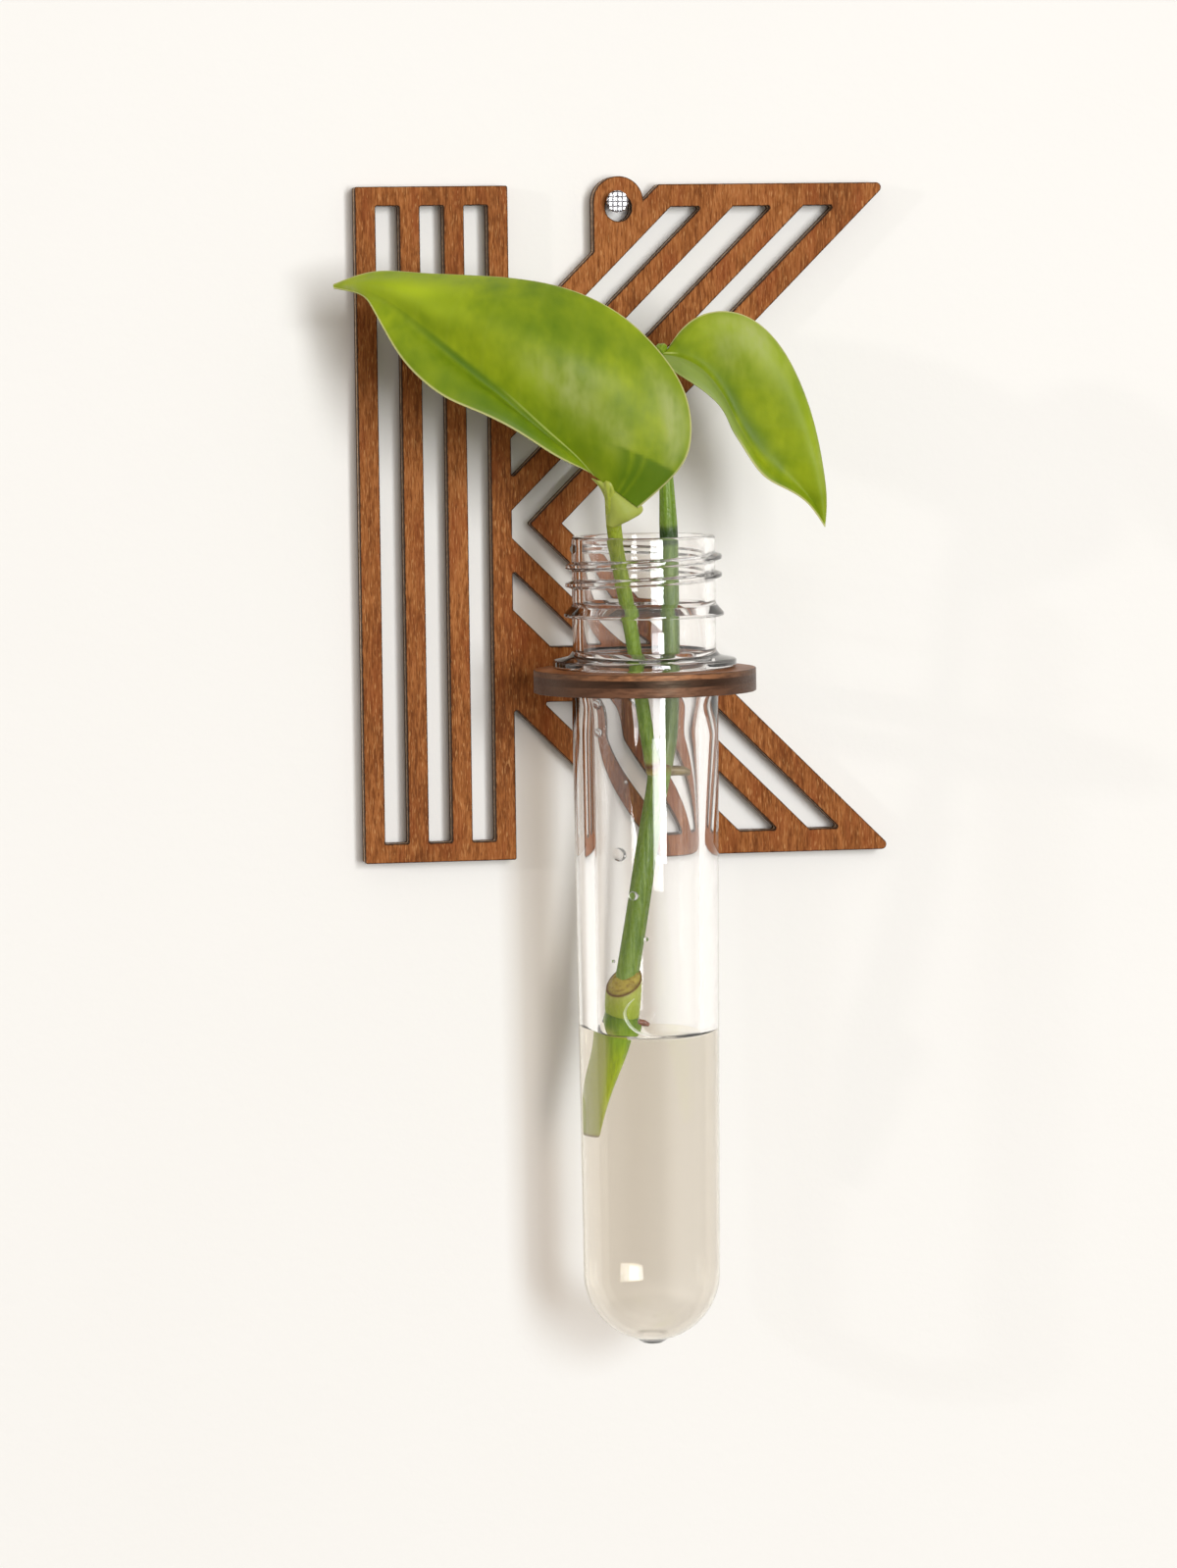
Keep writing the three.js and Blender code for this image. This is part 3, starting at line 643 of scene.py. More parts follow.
@dataclass(frozen=True)
class StainedPlywood:
    """Stained birch plywood, its cut walls and rims darkened by the laser.

    The point value "char" is 1 on cut walls and fades to 0 inside the face; "depth" runs from 0 at the
    back face to 1 at the front.
    """

    name: str = "stained_plywood"
    grain: Grain = Grain.UPRIGHT
    light: Colour = (0.41, 0.15, 0.045)
    middle: Colour = (0.285, 0.093, 0.024)
    dark: Colour = (0.15, 0.043, 0.011)
    fleck: Colour = (0.56, 0.27, 0.1)
    burnt: Colour = (0.03, 0.012, 0.006)
    ruddy: Colour = (0.25, 0.06, 0.016)
    wall_outer: Colour = (0.09, 0.045, 0.026)
    wall_inner: Colour = (0.62, 0.44, 0.29)
    wall_lower: Colour = (0.09, 0.045, 0.026)
    wall_stretch: Point = (1.0, 1.0, 1.0)
    inner_plies: tuple[float, float] = (0.32, 0.7)
    scorched: float = 0.55
    # Painted shade: round pieces grow darker towards both sides, from ends_start to ends_full off the middle.
    ends: float = 0.0
    ends_start: float = 3.0 * MM
    ends_full: float = 16.0 * MM
    gloss: float = 0.18
    fibres: float = 3900.0
    roughness: float = 0.66

    def material(self) -> bpy.types.Material:
        """The face's veneer from stretched noise, the walls' plies from depth, mixed by char.

        Round pieces get painted shade towards both sides by "ends", from the X of their points.

        Returns:
            The new material.
        """
        s = Shading(self.name)
        along = s.place(self.grain.value)
        fine = s.noise(along, self.fibres, 3.0)
        streak = s.noise(along, self.fibres * 0.42, 2.0)
        broad = s.noise(s.place((1.0, 1.0, 0.4)), 60.0, 2.0)
        share = s.weighted(fine, 0.6, streak, 0.4)
        share = s.maths("ADD", share, s.rescaled(broad, 0.3, 0.7, -0.08, 0.08))
        face = s.ramp(share, [(0.36, self.dark), (0.5, self.middle), (0.63, self.light)])
        bands = s.noise(s.place((1.0, 1.0, 0.25)), 240.0, 2.0)
        face = s.between(s.rescaled(bands, 0.5, 0.68, 0.0, 0.6), face, self.ruddy)
        pores = s.noise(along, self.fibres * 1.3, 1.0)
        face = s.between(s.rescaled(pores, 0.62, 0.7, 0.0, 0.6), face, self.fleck)
        face = s.between(s.rescaled(pores, 0.38, 0.31, 0.0, 0.7), face, self.dark)
        depth = s.value("depth")
        low, high = self.inner_plies
        above, below = s.rescaled(depth, low, low + 0.05), s.rescaled(depth, high, high - 0.05)
        inner_ply = s.maths("MULTIPLY", above, below)
        scorch = s.noise(s.place(self.wall_stretch), 1300.0, 3.0)
        outer_ply = s.between(s.rescaled(depth, 0.45, 0.55), self.wall_lower, self.wall_outer)
        wall = s.between(inner_ply, outer_ply, self.wall_inner)
        wall = s.between(s.rescaled(scorch, 0.42, 0.58, 0.0, self.scorched), wall, self.burnt)
        x = s.node("SeparateXYZ", Vector=s.place()).outputs["X"]
        # Painted shade on the cut walls towards both sides of a round piece.
        side = s.rescaled(s.maths("ABSOLUTE", x), self.ends_start, self.ends_full, 0.0, self.ends)
        wall = s.between(side, wall, self.burnt)
        char = s.value("char")
        soot = s.rescaled(s.maths("ADD", char, s.rescaled(scorch, 0.3, 0.7, -0.25, 0.25)), 0.25, 0.95)
        on_wall = s.rescaled(char, 0.97, 1.0)
        colour = s.between(soot, face, self.burnt)
        colour = s.between(on_wall, colour, wall)
        shader = s.principled(
            Base_Color=colour,
            Roughness=s.rescaled(fine, 0.3, 0.7, self.roughness + 0.1, self.roughness - 0.12),
            Normal=s.bump(s.weighted(fine, 0.7, pores, 0.5), 0.04),
            Specular_IOR_Level=self.gloss,
            Specular_Tint=(1.0, 0.72, 0.5),
        )
        return s.finish(shader)


@dataclass(frozen=True)
class RingPlywood(StainedPlywood):
    """The ring's plywood: glossier cut edges with orange flecks; its bright upper ply is partly painted
    highlight.
    """

    name: str = "ring_plywood"
    grain: Grain = Grain.LEVEL
    burnt: Colour = (0.055, 0.024, 0.014)
    # Partly painted highlight: the upper ply is bright orange for the gleam at the ring's front.
    wall_outer: Colour = (0.46, 0.2, 0.09)
    wall_inner: Colour = (0.012, 0.005, 0.003)
    wall_lower: Colour = (0.2, 0.09, 0.05)
    wall_stretch: Point = (0.2, 0.2, 1.0)
    inner_plies: tuple[float, float] = (0.4, 0.78)
    scorched: float = 0.7
    # Painted shade towards both sides of the ring.
    ends: float = 0.85
    gloss: float = 0.42
    fibres: float = 2600.0
    roughness: float = 0.45


@dataclass(frozen=True)
class BrightSteel:
    """Plated steel of the nail, with painted shade in the grooves that cross its head."""

    colour: Colour = (0.62, 0.62, 0.63)
    # Painted shade in the grooves of the head.
    groove: Colour = (0.09, 0.085, 0.09)
    pitch: float = 0.85 * MM
    groove_half: float = 0.17

    def material(self) -> bpy.types.Material:
        """Metal with painted shade, dark where X or Z is within groove_half of a whole number of pitches.

        Returns:
            The new material.
        """
        s = Shading("bright_steel")
        split = s.node("SeparateXYZ", Vector=s.node("TexCoord").outputs["Object"])
        worn = s.noise(s.place(), 2600.0, 3.0)
        lines = []
        for axis in ("X", "Z"):
            laps = s.maths("ADD", s.maths("DIVIDE", split.outputs[axis], self.pitch), 0.5)
            off = s.maths("ABSOLUTE", s.maths("SUBTRACT", s.maths("FRACT", laps), 0.5))
            off = s.maths("ADD", off, s.rescaled(worn, 0.3, 0.7, -0.06, 0.06))
            lines.append(s.rescaled(off, self.groove_half, self.groove_half * 0.5))
        # Painted shade: where the grooves cross the head.
        groove_shade = s.maths("MAXIMUM", *lines)
        shader = s.principled(
            Base_Color=s.between(groove_shade, self.colour, self.groove),
            Roughness=s.rescaled(worn, 0.3, 0.7, 0.22, 0.42),
            Normal=s.bump(s.maths("SUBTRACT", worn, groove_shade), 0.08),
            Metallic=1.0,
        )
        return s.finish(shader)


@dataclass(frozen=True)
class ClearBody:
    """Something clear: moulded plastic or water.

    Lamps shine through it as through a film, which passes the colour "passed", and "edge_passed" where
    the surface turns away.
    """

    name: str
    ior: float
    tint: Colour
    passed: Colour
    edge_passed: Colour
    roughness: float = 0.0
    ripple_mm: float = 0.0

    def material(self) -> bpy.types.Material:
        """Glass that bends what is seen through it. Light on its way to the wall passes a plain film.

        Returns:
            The new material.
        """
        s = Shading(self.name)
        ripple = s.noise(s.place((1.0, 1.0, 0.3)), 60.0, 1.0)
        shader = s.principled(
            Normal=s.bump(ripple, self.ripple_mm),
            Base_Color=self.tint,
            Roughness=self.roughness,
            IOR=self.ior,
            Transmission_Weight=1.0,
        )
        facing = s.node("LayerWeight", Blend=0.5).outputs["Facing"]
        colour = s.between(s.rescaled(facing, 0.12, 0.3), self.passed, self.edge_passed)
        path = s.node("LightPath")
        for kind, film in (("Is Shadow Ray", colour), ("Is Diffuse Ray", self.passed)):
            clear = s.node("BsdfTransparent", Color=film)
            shader = s.mixed(path.outputs[kind], shader, clear.outputs[0])
        return s.finish(shader)


@dataclass(frozen=True)
class WaxyLeaf:
    """A waxy leaf.

    Its points keep "along" (0 at the base, 1 at the tip), "aside" (millimetres from the midrib), "edge"
    (millimetres from the margin), "under" (1 on the underside), "shade" (painted shade, and painted light
    below 0) and a value of painted sheen (pale glossy patches). The side veins run "veins" to the blade
    and slant by "slant" a millimetre.
    """

    name: str
    light: Colour = (0.31, 0.385, 0.008)
    middle: Colour = (0.22, 0.3, 0.005)
    dark: Colour = (0.145, 0.225, 0.004)
    # Colours of the painted shade, painted light and painted sheen on the blade.
    shaded: Colour = (0.072, 0.15, 0.002)
    sunlit: Colour = (0.4, 0.5, 0.015)
    sheen_colour: Colour = (0.38, 0.43, 0.14)
    pale: Colour = (0.44, 0.52, 0.12)
    rim: Colour = (0.56, 0.52, 0.24)
    under: Colour = (0.24, 0.32, 0.075)
    veins: float = 9.0
    slant: float = 0.12
    midrib_end: float = 0.34

    def material(self) -> bpy.types.Material:
        """Green mottle under painted shade, light and sheen, a thin midrib that fades, faint veins, a pale
        rim.

        Returns:
            The new material.
        """
        s = Shading(self.name)
        along, aside = s.value("along"), s.value("aside")
        off_middle = s.maths("ABSOLUTE", aside)
        mottle = s.noise(s.place(), 85.0, 3.0)
        cells = s.noise(s.place(), 1100.0, 2.0)
        streaks = s.noise(s.place((1.0, 1.0, 0.45)), 330.0, 2.0)
        share = s.weighted(mottle, 0.68, streaks, 0.32)
        blade = s.ramp(share, [(0.36, self.dark), (0.5, self.middle), (0.64, self.light)])
        slant = s.maths("MULTIPLY", off_middle, self.slant)
        phase = s.maths("SUBTRACT", s.maths("MULTIPLY", along, self.veins), slant)
        wave = s.maths("ABSOLUTE", s.maths("SUBTRACT", s.maths("FRACT", phase), 0.5))
        blade = s.between(s.rescaled(wave, 0.09, 0.0, 0.0, 0.03), blade, self.pale)
        # Painted shade where "shade" is above 0, painted light where it is below 0.
        blade = s.between(s.maths("MAXIMUM", s.value("shade"), 0.0), blade, self.shaded)
        blade = s.between(s.rescaled(s.value("shade"), 0.0, -1.0), blade, self.sunlit)
        # Painted sheen: pale flecked patches that stand for the wax's reflections.
        sheen_flecks = s.maths("MULTIPLY", s.value("painted_sheen"), s.rescaled(streaks, 0.36, 0.6, 0.35, 1.0))
        blade = s.between(sheen_flecks, blade, self.sheen_colour)
        fading = s.rescaled(along, self.midrib_end, self.midrib_end * 0.5)
        midrib = s.maths("MULTIPLY", s.rescaled(off_middle, 0.3, 0.14, 0.0, 0.9), fading)
        blade = s.between(midrib, blade, self.pale)
        blade = s.between(s.rescaled(s.value("edge"), 0.42, 0.16, 0.0, 0.75), blade, self.rim)
        colour = s.between(s.maths("MULTIPLY", s.value("under"), 0.8), blade, self.under)
        shader = s.principled(
            Base_Color=colour,
            Roughness=s.rescaled(streaks, 0.3, 0.7, 0.46, 0.58),
            Normal=s.bump(cells, 0.03),
            Subsurface_Weight=0.1,
            Subsurface_Radius=(0.6, 1.0, 0.1),
            Subsurface_Scale=0.6 * MM,
            Specular_IOR_Level=0.22,
        )
        return s.finish(shader)


@dataclass(frozen=True)
class GreenStem:
    """A fleshy stem whose colour passes through stops along its length.

    Its points keep "along" (0 to 1), "scar" (1 on dry tan tissue), "pale" (1 on bleached skin), "wet" (1
    where dark and wet) and "sunk" (1 where it stands in water, which takes its gloss away). A value that
    they don't keep is 0.
    """

    name: str
    stops: Stops
    scar: Colour = (0.43, 0.34, 0.06)
    scorched: Colour = (0.14, 0.06, 0.015)
    bleached: Colour = (0.39, 0.42, 0.1)
    soaked: Colour = (0.035, 0.07, 0.015)
    light_stripe: Colour = (0.2, 0.22, 0.05)
    dark_stripe: Colour = (0.04, 0.1, 0.012)
    stripe: float = 0.3
    gloss: float = 0.25
    sunk_gloss: float = 0.02

    def material(self) -> bpy.types.Material:
        """Green with lengthwise stripes and small spots, bleached, dark and tan where its points say so.

        Returns:
            The new material.
        """
        s = Shading(self.name)
        body = s.ramp(s.value("along"), self.stops)
        lines = s.noise(s.place((1.0, 1.0, 0.06)), 1900.0, 3.0)
        spots = s.noise(s.place((1.0, 1.0, 0.5)), 2100.0, 2.0)
        lighter = s.between(1.0, body, self.light_stripe, "ADD")
        body = s.between(s.rescaled(lines, 0.45, 0.66, 0.0, self.stripe), body, lighter)
        body = s.between(s.rescaled(lines, 0.48, 0.32, 0.0, self.stripe), body, self.dark_stripe)
        body = s.between(s.value("pale"), body, self.bleached)
        body = s.between(s.value("wet"), body, self.soaked)
        scar = s.value("scar")
        patchy = s.noise(s.place((1.0, 1.0, 1.6)), 620.0, 3.0)
        dry = s.between(s.rescaled(patchy, 0.46, 0.66, 0.0, 0.75), self.scar, self.scorched)
        colour = s.between(scar, body, dry)
        ring = s.maths("MULTIPLY", s.rescaled(scar, 0.1, 0.5), s.rescaled(scar, 0.9, 0.6))
        colour = s.between(ring, colour, self.scorched)
        relief = s.weighted(lines, 0.8, spots, 0.6)
        skins = [
            s.principled(
                Base_Color=colour,
                Roughness=s.rescaled(spots, 0.35, 0.65, 0.17, 0.38),
                Normal=s.bump(relief, 0.14),
                Subsurface_Weight=0.12,
                Subsurface_Radius=(0.7, 1.0, 0.2),
                Subsurface_Scale=0.8 * MM,
                Specular_IOR_Level=gloss,
            )
            for gloss in (self.gloss, self.sunk_gloss)
        ]
        return s.finish(s.mixed(s.value("sunk"), *skins))


@dataclass(frozen=True)
class PaleWall:
    """The painted wall behind the object, seen only from the room's side."""

    colour: Colour = (0.9, 0.885, 0.86)
    uneven: Colour = (0.87, 0.85, 0.82)
    glow: float = 0.02
    gathered: float = 0.13
    glow_colour: Colour = (1.0, 0.99, 0.975)
    skim: float = 0.35 * MM
    mirrored_end: float = -110.0 * MM
    mirrored_fade: float = 30.0 * MM

    def material(self) -> bpy.types.Material:
        """Matt paint, lifted where it is seen through clear pieces, which gather the light on it.

        From behind, and for rays that start less than a skim from it, the wall isn't there. Clear pieces
        don't show it left of mirrored_end.

        Returns:
            The new material.
        """
        s = Shading("pale_wall")
        tone = s.noise(s.place(), 9.0, 3.0)
        plaster = s.noise(s.place(), 420.0, 3.0)
        colour = s.between(s.rescaled(tone, 0.3, 0.7, 0.0, 0.35), self.colour, self.uneven)
        paint = s.node("BsdfDiffuse", Color=colour, Normal=s.bump(plaster, 0.06))
        path = s.node("LightPath")
        seen = s.maths("ADD", path.outputs["Is Camera Ray"], path.outputs["Is Transmission Ray"])
        seen = s.maths("ADD", seen, path.outputs["Is Glossy Ray"], clamp=True)
        lift = s.maths("MULTIPLY", seen, self.glow)
        lift = s.maths("ADD", lift, s.maths("MULTIPLY", path.outputs["Is Transmission Ray"], self.gathered))
        lift = s.node("Emission", Color=self.glow_colour, Strength=lift)
        lit = s.node("AddShader")
        s.feed(lit.inputs[0], paint.outputs[0])
        s.feed(lit.inputs[1], lift.outputs[0])
        gone = s.node("BsdfTransparent", Color=(1.0, 1.0, 1.0))
        near = s.maths("LESS_THAN", path.outputs["Ray Length"], self.skim)
        unseen = s.maths("SUBTRACT", 1.0, seen)
        behind = s.node("NewGeometry").outputs["Backfacing"]
        away = s.maths("MAXIMUM", behind, s.maths("MULTIPLY", near, unseen))
        x = s.node("SeparateXYZ", Vector=s.place()).outputs[0]
        far = s.rescaled(x, self.mirrored_end, self.mirrored_end - self.mirrored_fade)
        clear = s.maths("ADD", path.outputs["Is Singular Ray"], path.outputs["Is Transmission Ray"], True)
        away = s.maths("MAXIMUM", away, s.maths("MULTIPLY", far, clear))
        return s.finish(s.mixed(away, lit.outputs[0], gone.outputs[0]))


# Sub-assemblies


@dataclass
class Hanging:
    """Where the parts hang, worked out from the frame, in millimetres."""

    letter_top: float = 5.6
    letter_left: float = 47.17

    def hole(self) -> Point:
        """Centre of the letter's hanging hole at its back."""
        low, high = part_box("letter_panel")
        return (low.x / MM + self.letter_left, 0.0, high.z / MM - self.letter_top)

    def tube(self) -> Point:
        """The tube's axis at the level of its rim."""
        low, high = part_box("preform_tube")
        return ((low.x + high.x) / 2 / MM, (low.y + high.y) / 2 / MM, high.z / MM)


@dataclass
class CutPlate:
    """A laser-cut plywood plate: rims and walls are one profile carried round each outline."""

    thickness: float
    arris: float = 0.07
    band: float = 0.34

    def profile(self) -> tuple[np.ndarray, np.ndarray, np.ndarray]:
        """Works out the profile, from the back face round to the front.

        Returns:
            Inset, depth and char of its points.
        """
        t, a, b = self.thickness, self.arris, self.band
        wall = np.linspace(a, t - a, 7)
        insets = np.array([b, b * 0.5, a, *np.zeros(7), a, b * 0.5, b])
        depths = np.array([0, 0, 0, *wall, t, t, t])
        chars = np.array([0.0, 0.45, 0.9, *np.ones(7), 0.9, 0.45, 0.0])
        return insets, depths, chars

    def surface(self, outer: np.ndarray, holes: Sequence[np.ndarray], place: Callable) -> Surface:
        """Builds the closed plate.

        Args:
            outer: The outer outline.
            holes: The outlines of its holes.
            place: Takes plate coordinates (x, y, depth) to the frame, as arrays.

        Returns:
            The plate with its values "char" and "depth".
        """
        loops = [turned_way(outer, True)] + [turned_way(h, False) for h in holes]
        insets, depths, chars = self.profile()
        parts, faces, start = [], [], 0
        rims: dict[int, list[np.ndarray]] = {0: [], -1: []}
        for loop in loops:
            rings = np.stack([inset(loop, d) for d in insets])
            count = len(loop)
            flat = np.concatenate([rings, np.repeat(depths, count).reshape(-1, count, 1)], axis=2)
            parts.append(flat.reshape(-1, 3))
            faces.append(grid_quads(len(insets), count, True) + start)
            for end, row in ((0, 0), (-1, len(insets) - 1)):
                rims[end].append(start + row * count + np.arange(count))
            start += len(insets) * count
        plate = np.vstack(parts)
        caps = []
        for end, loops_at in rims.items():
            order = np.concatenate(loops_at)
            polylines = [[Vector((*plate[i, :2], 0.0)) for i in loop] for loop in loops_at]
            triangles = order[np.array(tessellate_polygon(polylines))]
            a, b, c = (plate[triangles[:, k], :2] for k in range(3))
            area = (b - a)[:, 0] * (c - a)[:, 1] - (b - a)[:, 1] * (c - a)[:, 0]
            wrong = (area > 0) != (end == -1)
            triangles[wrong] = triangles[wrong][:, ::-1]
            caps.append(triangles)
        char = np.concatenate([np.repeat(chars, len(loop)) for loop in loops])
        points = np.stack(place(*plate.T), axis=1)
        made = Surface(points, np.vstack(faces)[:, ::-1], np.vstack(caps))
        made.values = {"char": char, "depth": plate[:, 2] / self.thickness}
        return made.outward()


@dataclass
class LetterPanel:
    """The striped letter, in millimetres from its hanging hole."""

    thickness: float = 4.0
    hole_radius: float = 2.4
    top: float = 4.1
    height: float = 120.0
    stem_rail: float = 3.6
    stem_slot: float = 4.28
    stem_slots: int = 3
    stem_end: float = 3.4
    arm_start: float = 3.27
    arm_rails: tuple[float, ...] = (6.1, 5.6, 5.65, 5.75)
    arm_slots: tuple[float, ...] = (5.75, 7.15, 5.7)
    arm_end: float = 4.0
    crotch_gap: float = 9.0
    ear_radius: float = 4.5
    ear_rise: float = 1.1
    tip_radius: float = 0.9
    outline_radius: float = 0.4
    slot_radius: float = 0.35
    bar_height: float = 9.8
    bar_below_middle: float = 26.95
    ring_x: float = 0.2
    tenon: tuple[float, float] = (16.3, 4.3)
    tenon_corner: float = 0.05

    def edges(self) -> list[float]:
        """Adds up the arm's rails and slots, from the stem's side outwards.

        Returns:
            Level distance of each edge.
        """
        found = [self.arm_start]
        for rail, slot in zip(self.arm_rails, self.arm_slots):
            found += [found[-1] + rail, found[-1] + rail + slot]
        return found + [found[-1] + self.arm_rails[-1]]

    def outlines(self) -> tuple[np.ndarray, list[np.ndarray]]:
        """Works out the outlines; the arms' slots mirror each other about their shared middle.

        Returns:
            The outer outline, and those of the hanging hole, the slots and the tenon's slot.
        """
        edges = self.edges()
        middle = self.height / 2 - self.top
        bottom = self.top - self.height
        right = edges[-1] - middle - self.crotch_gap
        left = right - self.stem_slots * (self.stem_rail + self.stem_slot) - self.stem_rail
        shelf = middle + self.bar_below_middle
        bar_top, bar_bottom = shelf - self.bar_height / 2, shelf + self.bar_height / 2
        near_y = right - self.arm_start
        r, s = self.outline_radius, self.slot_radius

        def lower(edge: float, drop: float) -> Corner:
            """A slot's corner, with its radius, where an edge of the lower arm is at that drop."""
            return (drop - (2 * middle - edge), -drop, s)

        mix = self.ear_rise - self.arm_start
        reach = math.sqrt(2 * self.ear_radius**2 - (self.ear_rise + self.arm_start) ** 2)
        notch_y = (mix + reach) / 2
        notch = math.atan2(notch_y - self.ear_rise, notch_y + self.arm_start)
        arc = np.linspace(notch, math.pi, 26)
        ear, rise = self.ear_radius, self.ear_rise
        ear_arc = [(ear * math.cos(a), rise + ear * math.sin(a), 0.0) for a in arc]
        outer = rounded_outline([
            (left, self.top, r), (left, bottom, r), (right, bottom, r), (right, -2 * middle - near_y, r),
            (self.arm_start + self.top, bottom, r), (edges[-1] + self.top, bottom, self.tip_radius),
            (edges[-1] - middle, -middle, r / 4), (edges[-1] + self.top, self.top, self.tip_radius),
            (self.arm_start + self.top, self.top, r), *ear_arc,
            (-ear, -ear - self.arm_start, r), (right, near_y, r), (right, self.top, r),
        ])
        holes = [circle(0.0, 0.0, self.hole_radius, 48)]
        for i in range(self.stem_slots):
            a = left + self.stem_rail + i * (self.stem_rail + self.stem_slot)
            low, high = bottom + self.stem_end, self.top - self.stem_end
            holes.append(upright_box(a, a + self.stem_slot, low, high, s))
        high, low_drop = self.top - self.arm_end, -bottom - self.arm_end
        for i in range(len(self.arm_slots)):
            near, far = edges[2 * i + 1], edges[2 * i + 2]
            foot = ((near, bar_bottom), (near, low_drop), (far, low_drop), (far, bar_bottom))
            holes.append(rounded_outline([lower(edge, drop) for edge, drop in foot]))
            shared = [lower(near, bar_top), lower(far, bar_top)]
            stem_near = (right, right - near, s)
            mirrored = (right, near - right - 2 * middle, s)
            head = (near + high, high, s), (far + high, high, s)
            if i == len(self.arm_slots) - 1:
                tip = (far - middle, -middle, s)
                holes.append(rounded_outline([head[0], stem_near, mirrored, *shared, tip, head[1]]))
                continue
            holes.append(rounded_outline([head[0], stem_near, (right, right - far, s), head[1]]))
            start = 2 * middle - (far - right)
            if bar_top - start > self.stem_rail:
                holes.append(rounded_outline([(right, -start, s), mirrored, *shared]))
        wide, tall = self.tenon[0] / 2, self.tenon[1] / 2
        left, right = self.ring_x - wide, self.ring_x + wide
        holes.append(upright_box(left, right, -tall - shelf, tall - shelf, self.tenon_corner))
        return outer, holes

    def build(self, hole: Point) -> bpy.types.Object:
        """Makes the letter.

        Args:
            hole: Centre of its hanging hole in the frame.

        Returns:
            The letter, on the panel's body.
        """
        outer, holes = self.outlines()

        def place(x: np.ndarray, y: np.ndarray, depth: np.ndarray) -> tuple:
            """Stands the plate upright with its back on the wall."""
            return x + hole[0], -depth, y + hole[2]

        surface = CutPlate(self.thickness).surface(outer, holes, place)
        piece = Piece("letter_plywood", Body.PANEL, "plywood", "letter_panel", 25.0)
        return piece.make(surface, StainedPlywood())


@dataclass
class RingShelf:
    """The level ring with its tenon, about the tube's axis."""

    radius: float = 19.55
    hole_radius: float = 13.25
    thickness: float = 4.0
    tenon_half: float = 8.0
    arris: float = 0.12

    def build(self, tube: Point) -> bpy.types.Object:
        """Makes the ring where its solid lies.

        Args:
            tube: The tube's axis at its rim.

        Returns:
            The ring, on the panel's body.
        """
        low, high = (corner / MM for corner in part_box("ring_shelf"))
        shoulder = math.asin(self.tenon_half / self.radius)
        arc = np.linspace(math.pi / 2 + shoulder, 5 * math.pi / 2 - shoulder, 200)
        rim = np.stack([self.radius * np.cos(arc), self.radius * np.sin(arc)], axis=1)
        back = high.y - tube[1]
        outer = np.vstack([rim, [[self.tenon_half, back], [-self.tenon_half, back]]])

        def place(x: np.ndarray, y: np.ndarray, depth: np.ndarray) -> tuple:
            """Lays the plate level about the tube's axis."""
            return x + tube[0], y + tube[1], low.z + depth

        hole = circle(0.0, 0.0, self.hole_radius, 160)
        surface = CutPlate(self.thickness, self.arris).surface(outer, [hole], place)
        piece = Piece("ring_plywood_shelf", Body.PANEL, "plywood", "ring_shelf", 25.0)
        return piece.make(surface, RingPlywood())


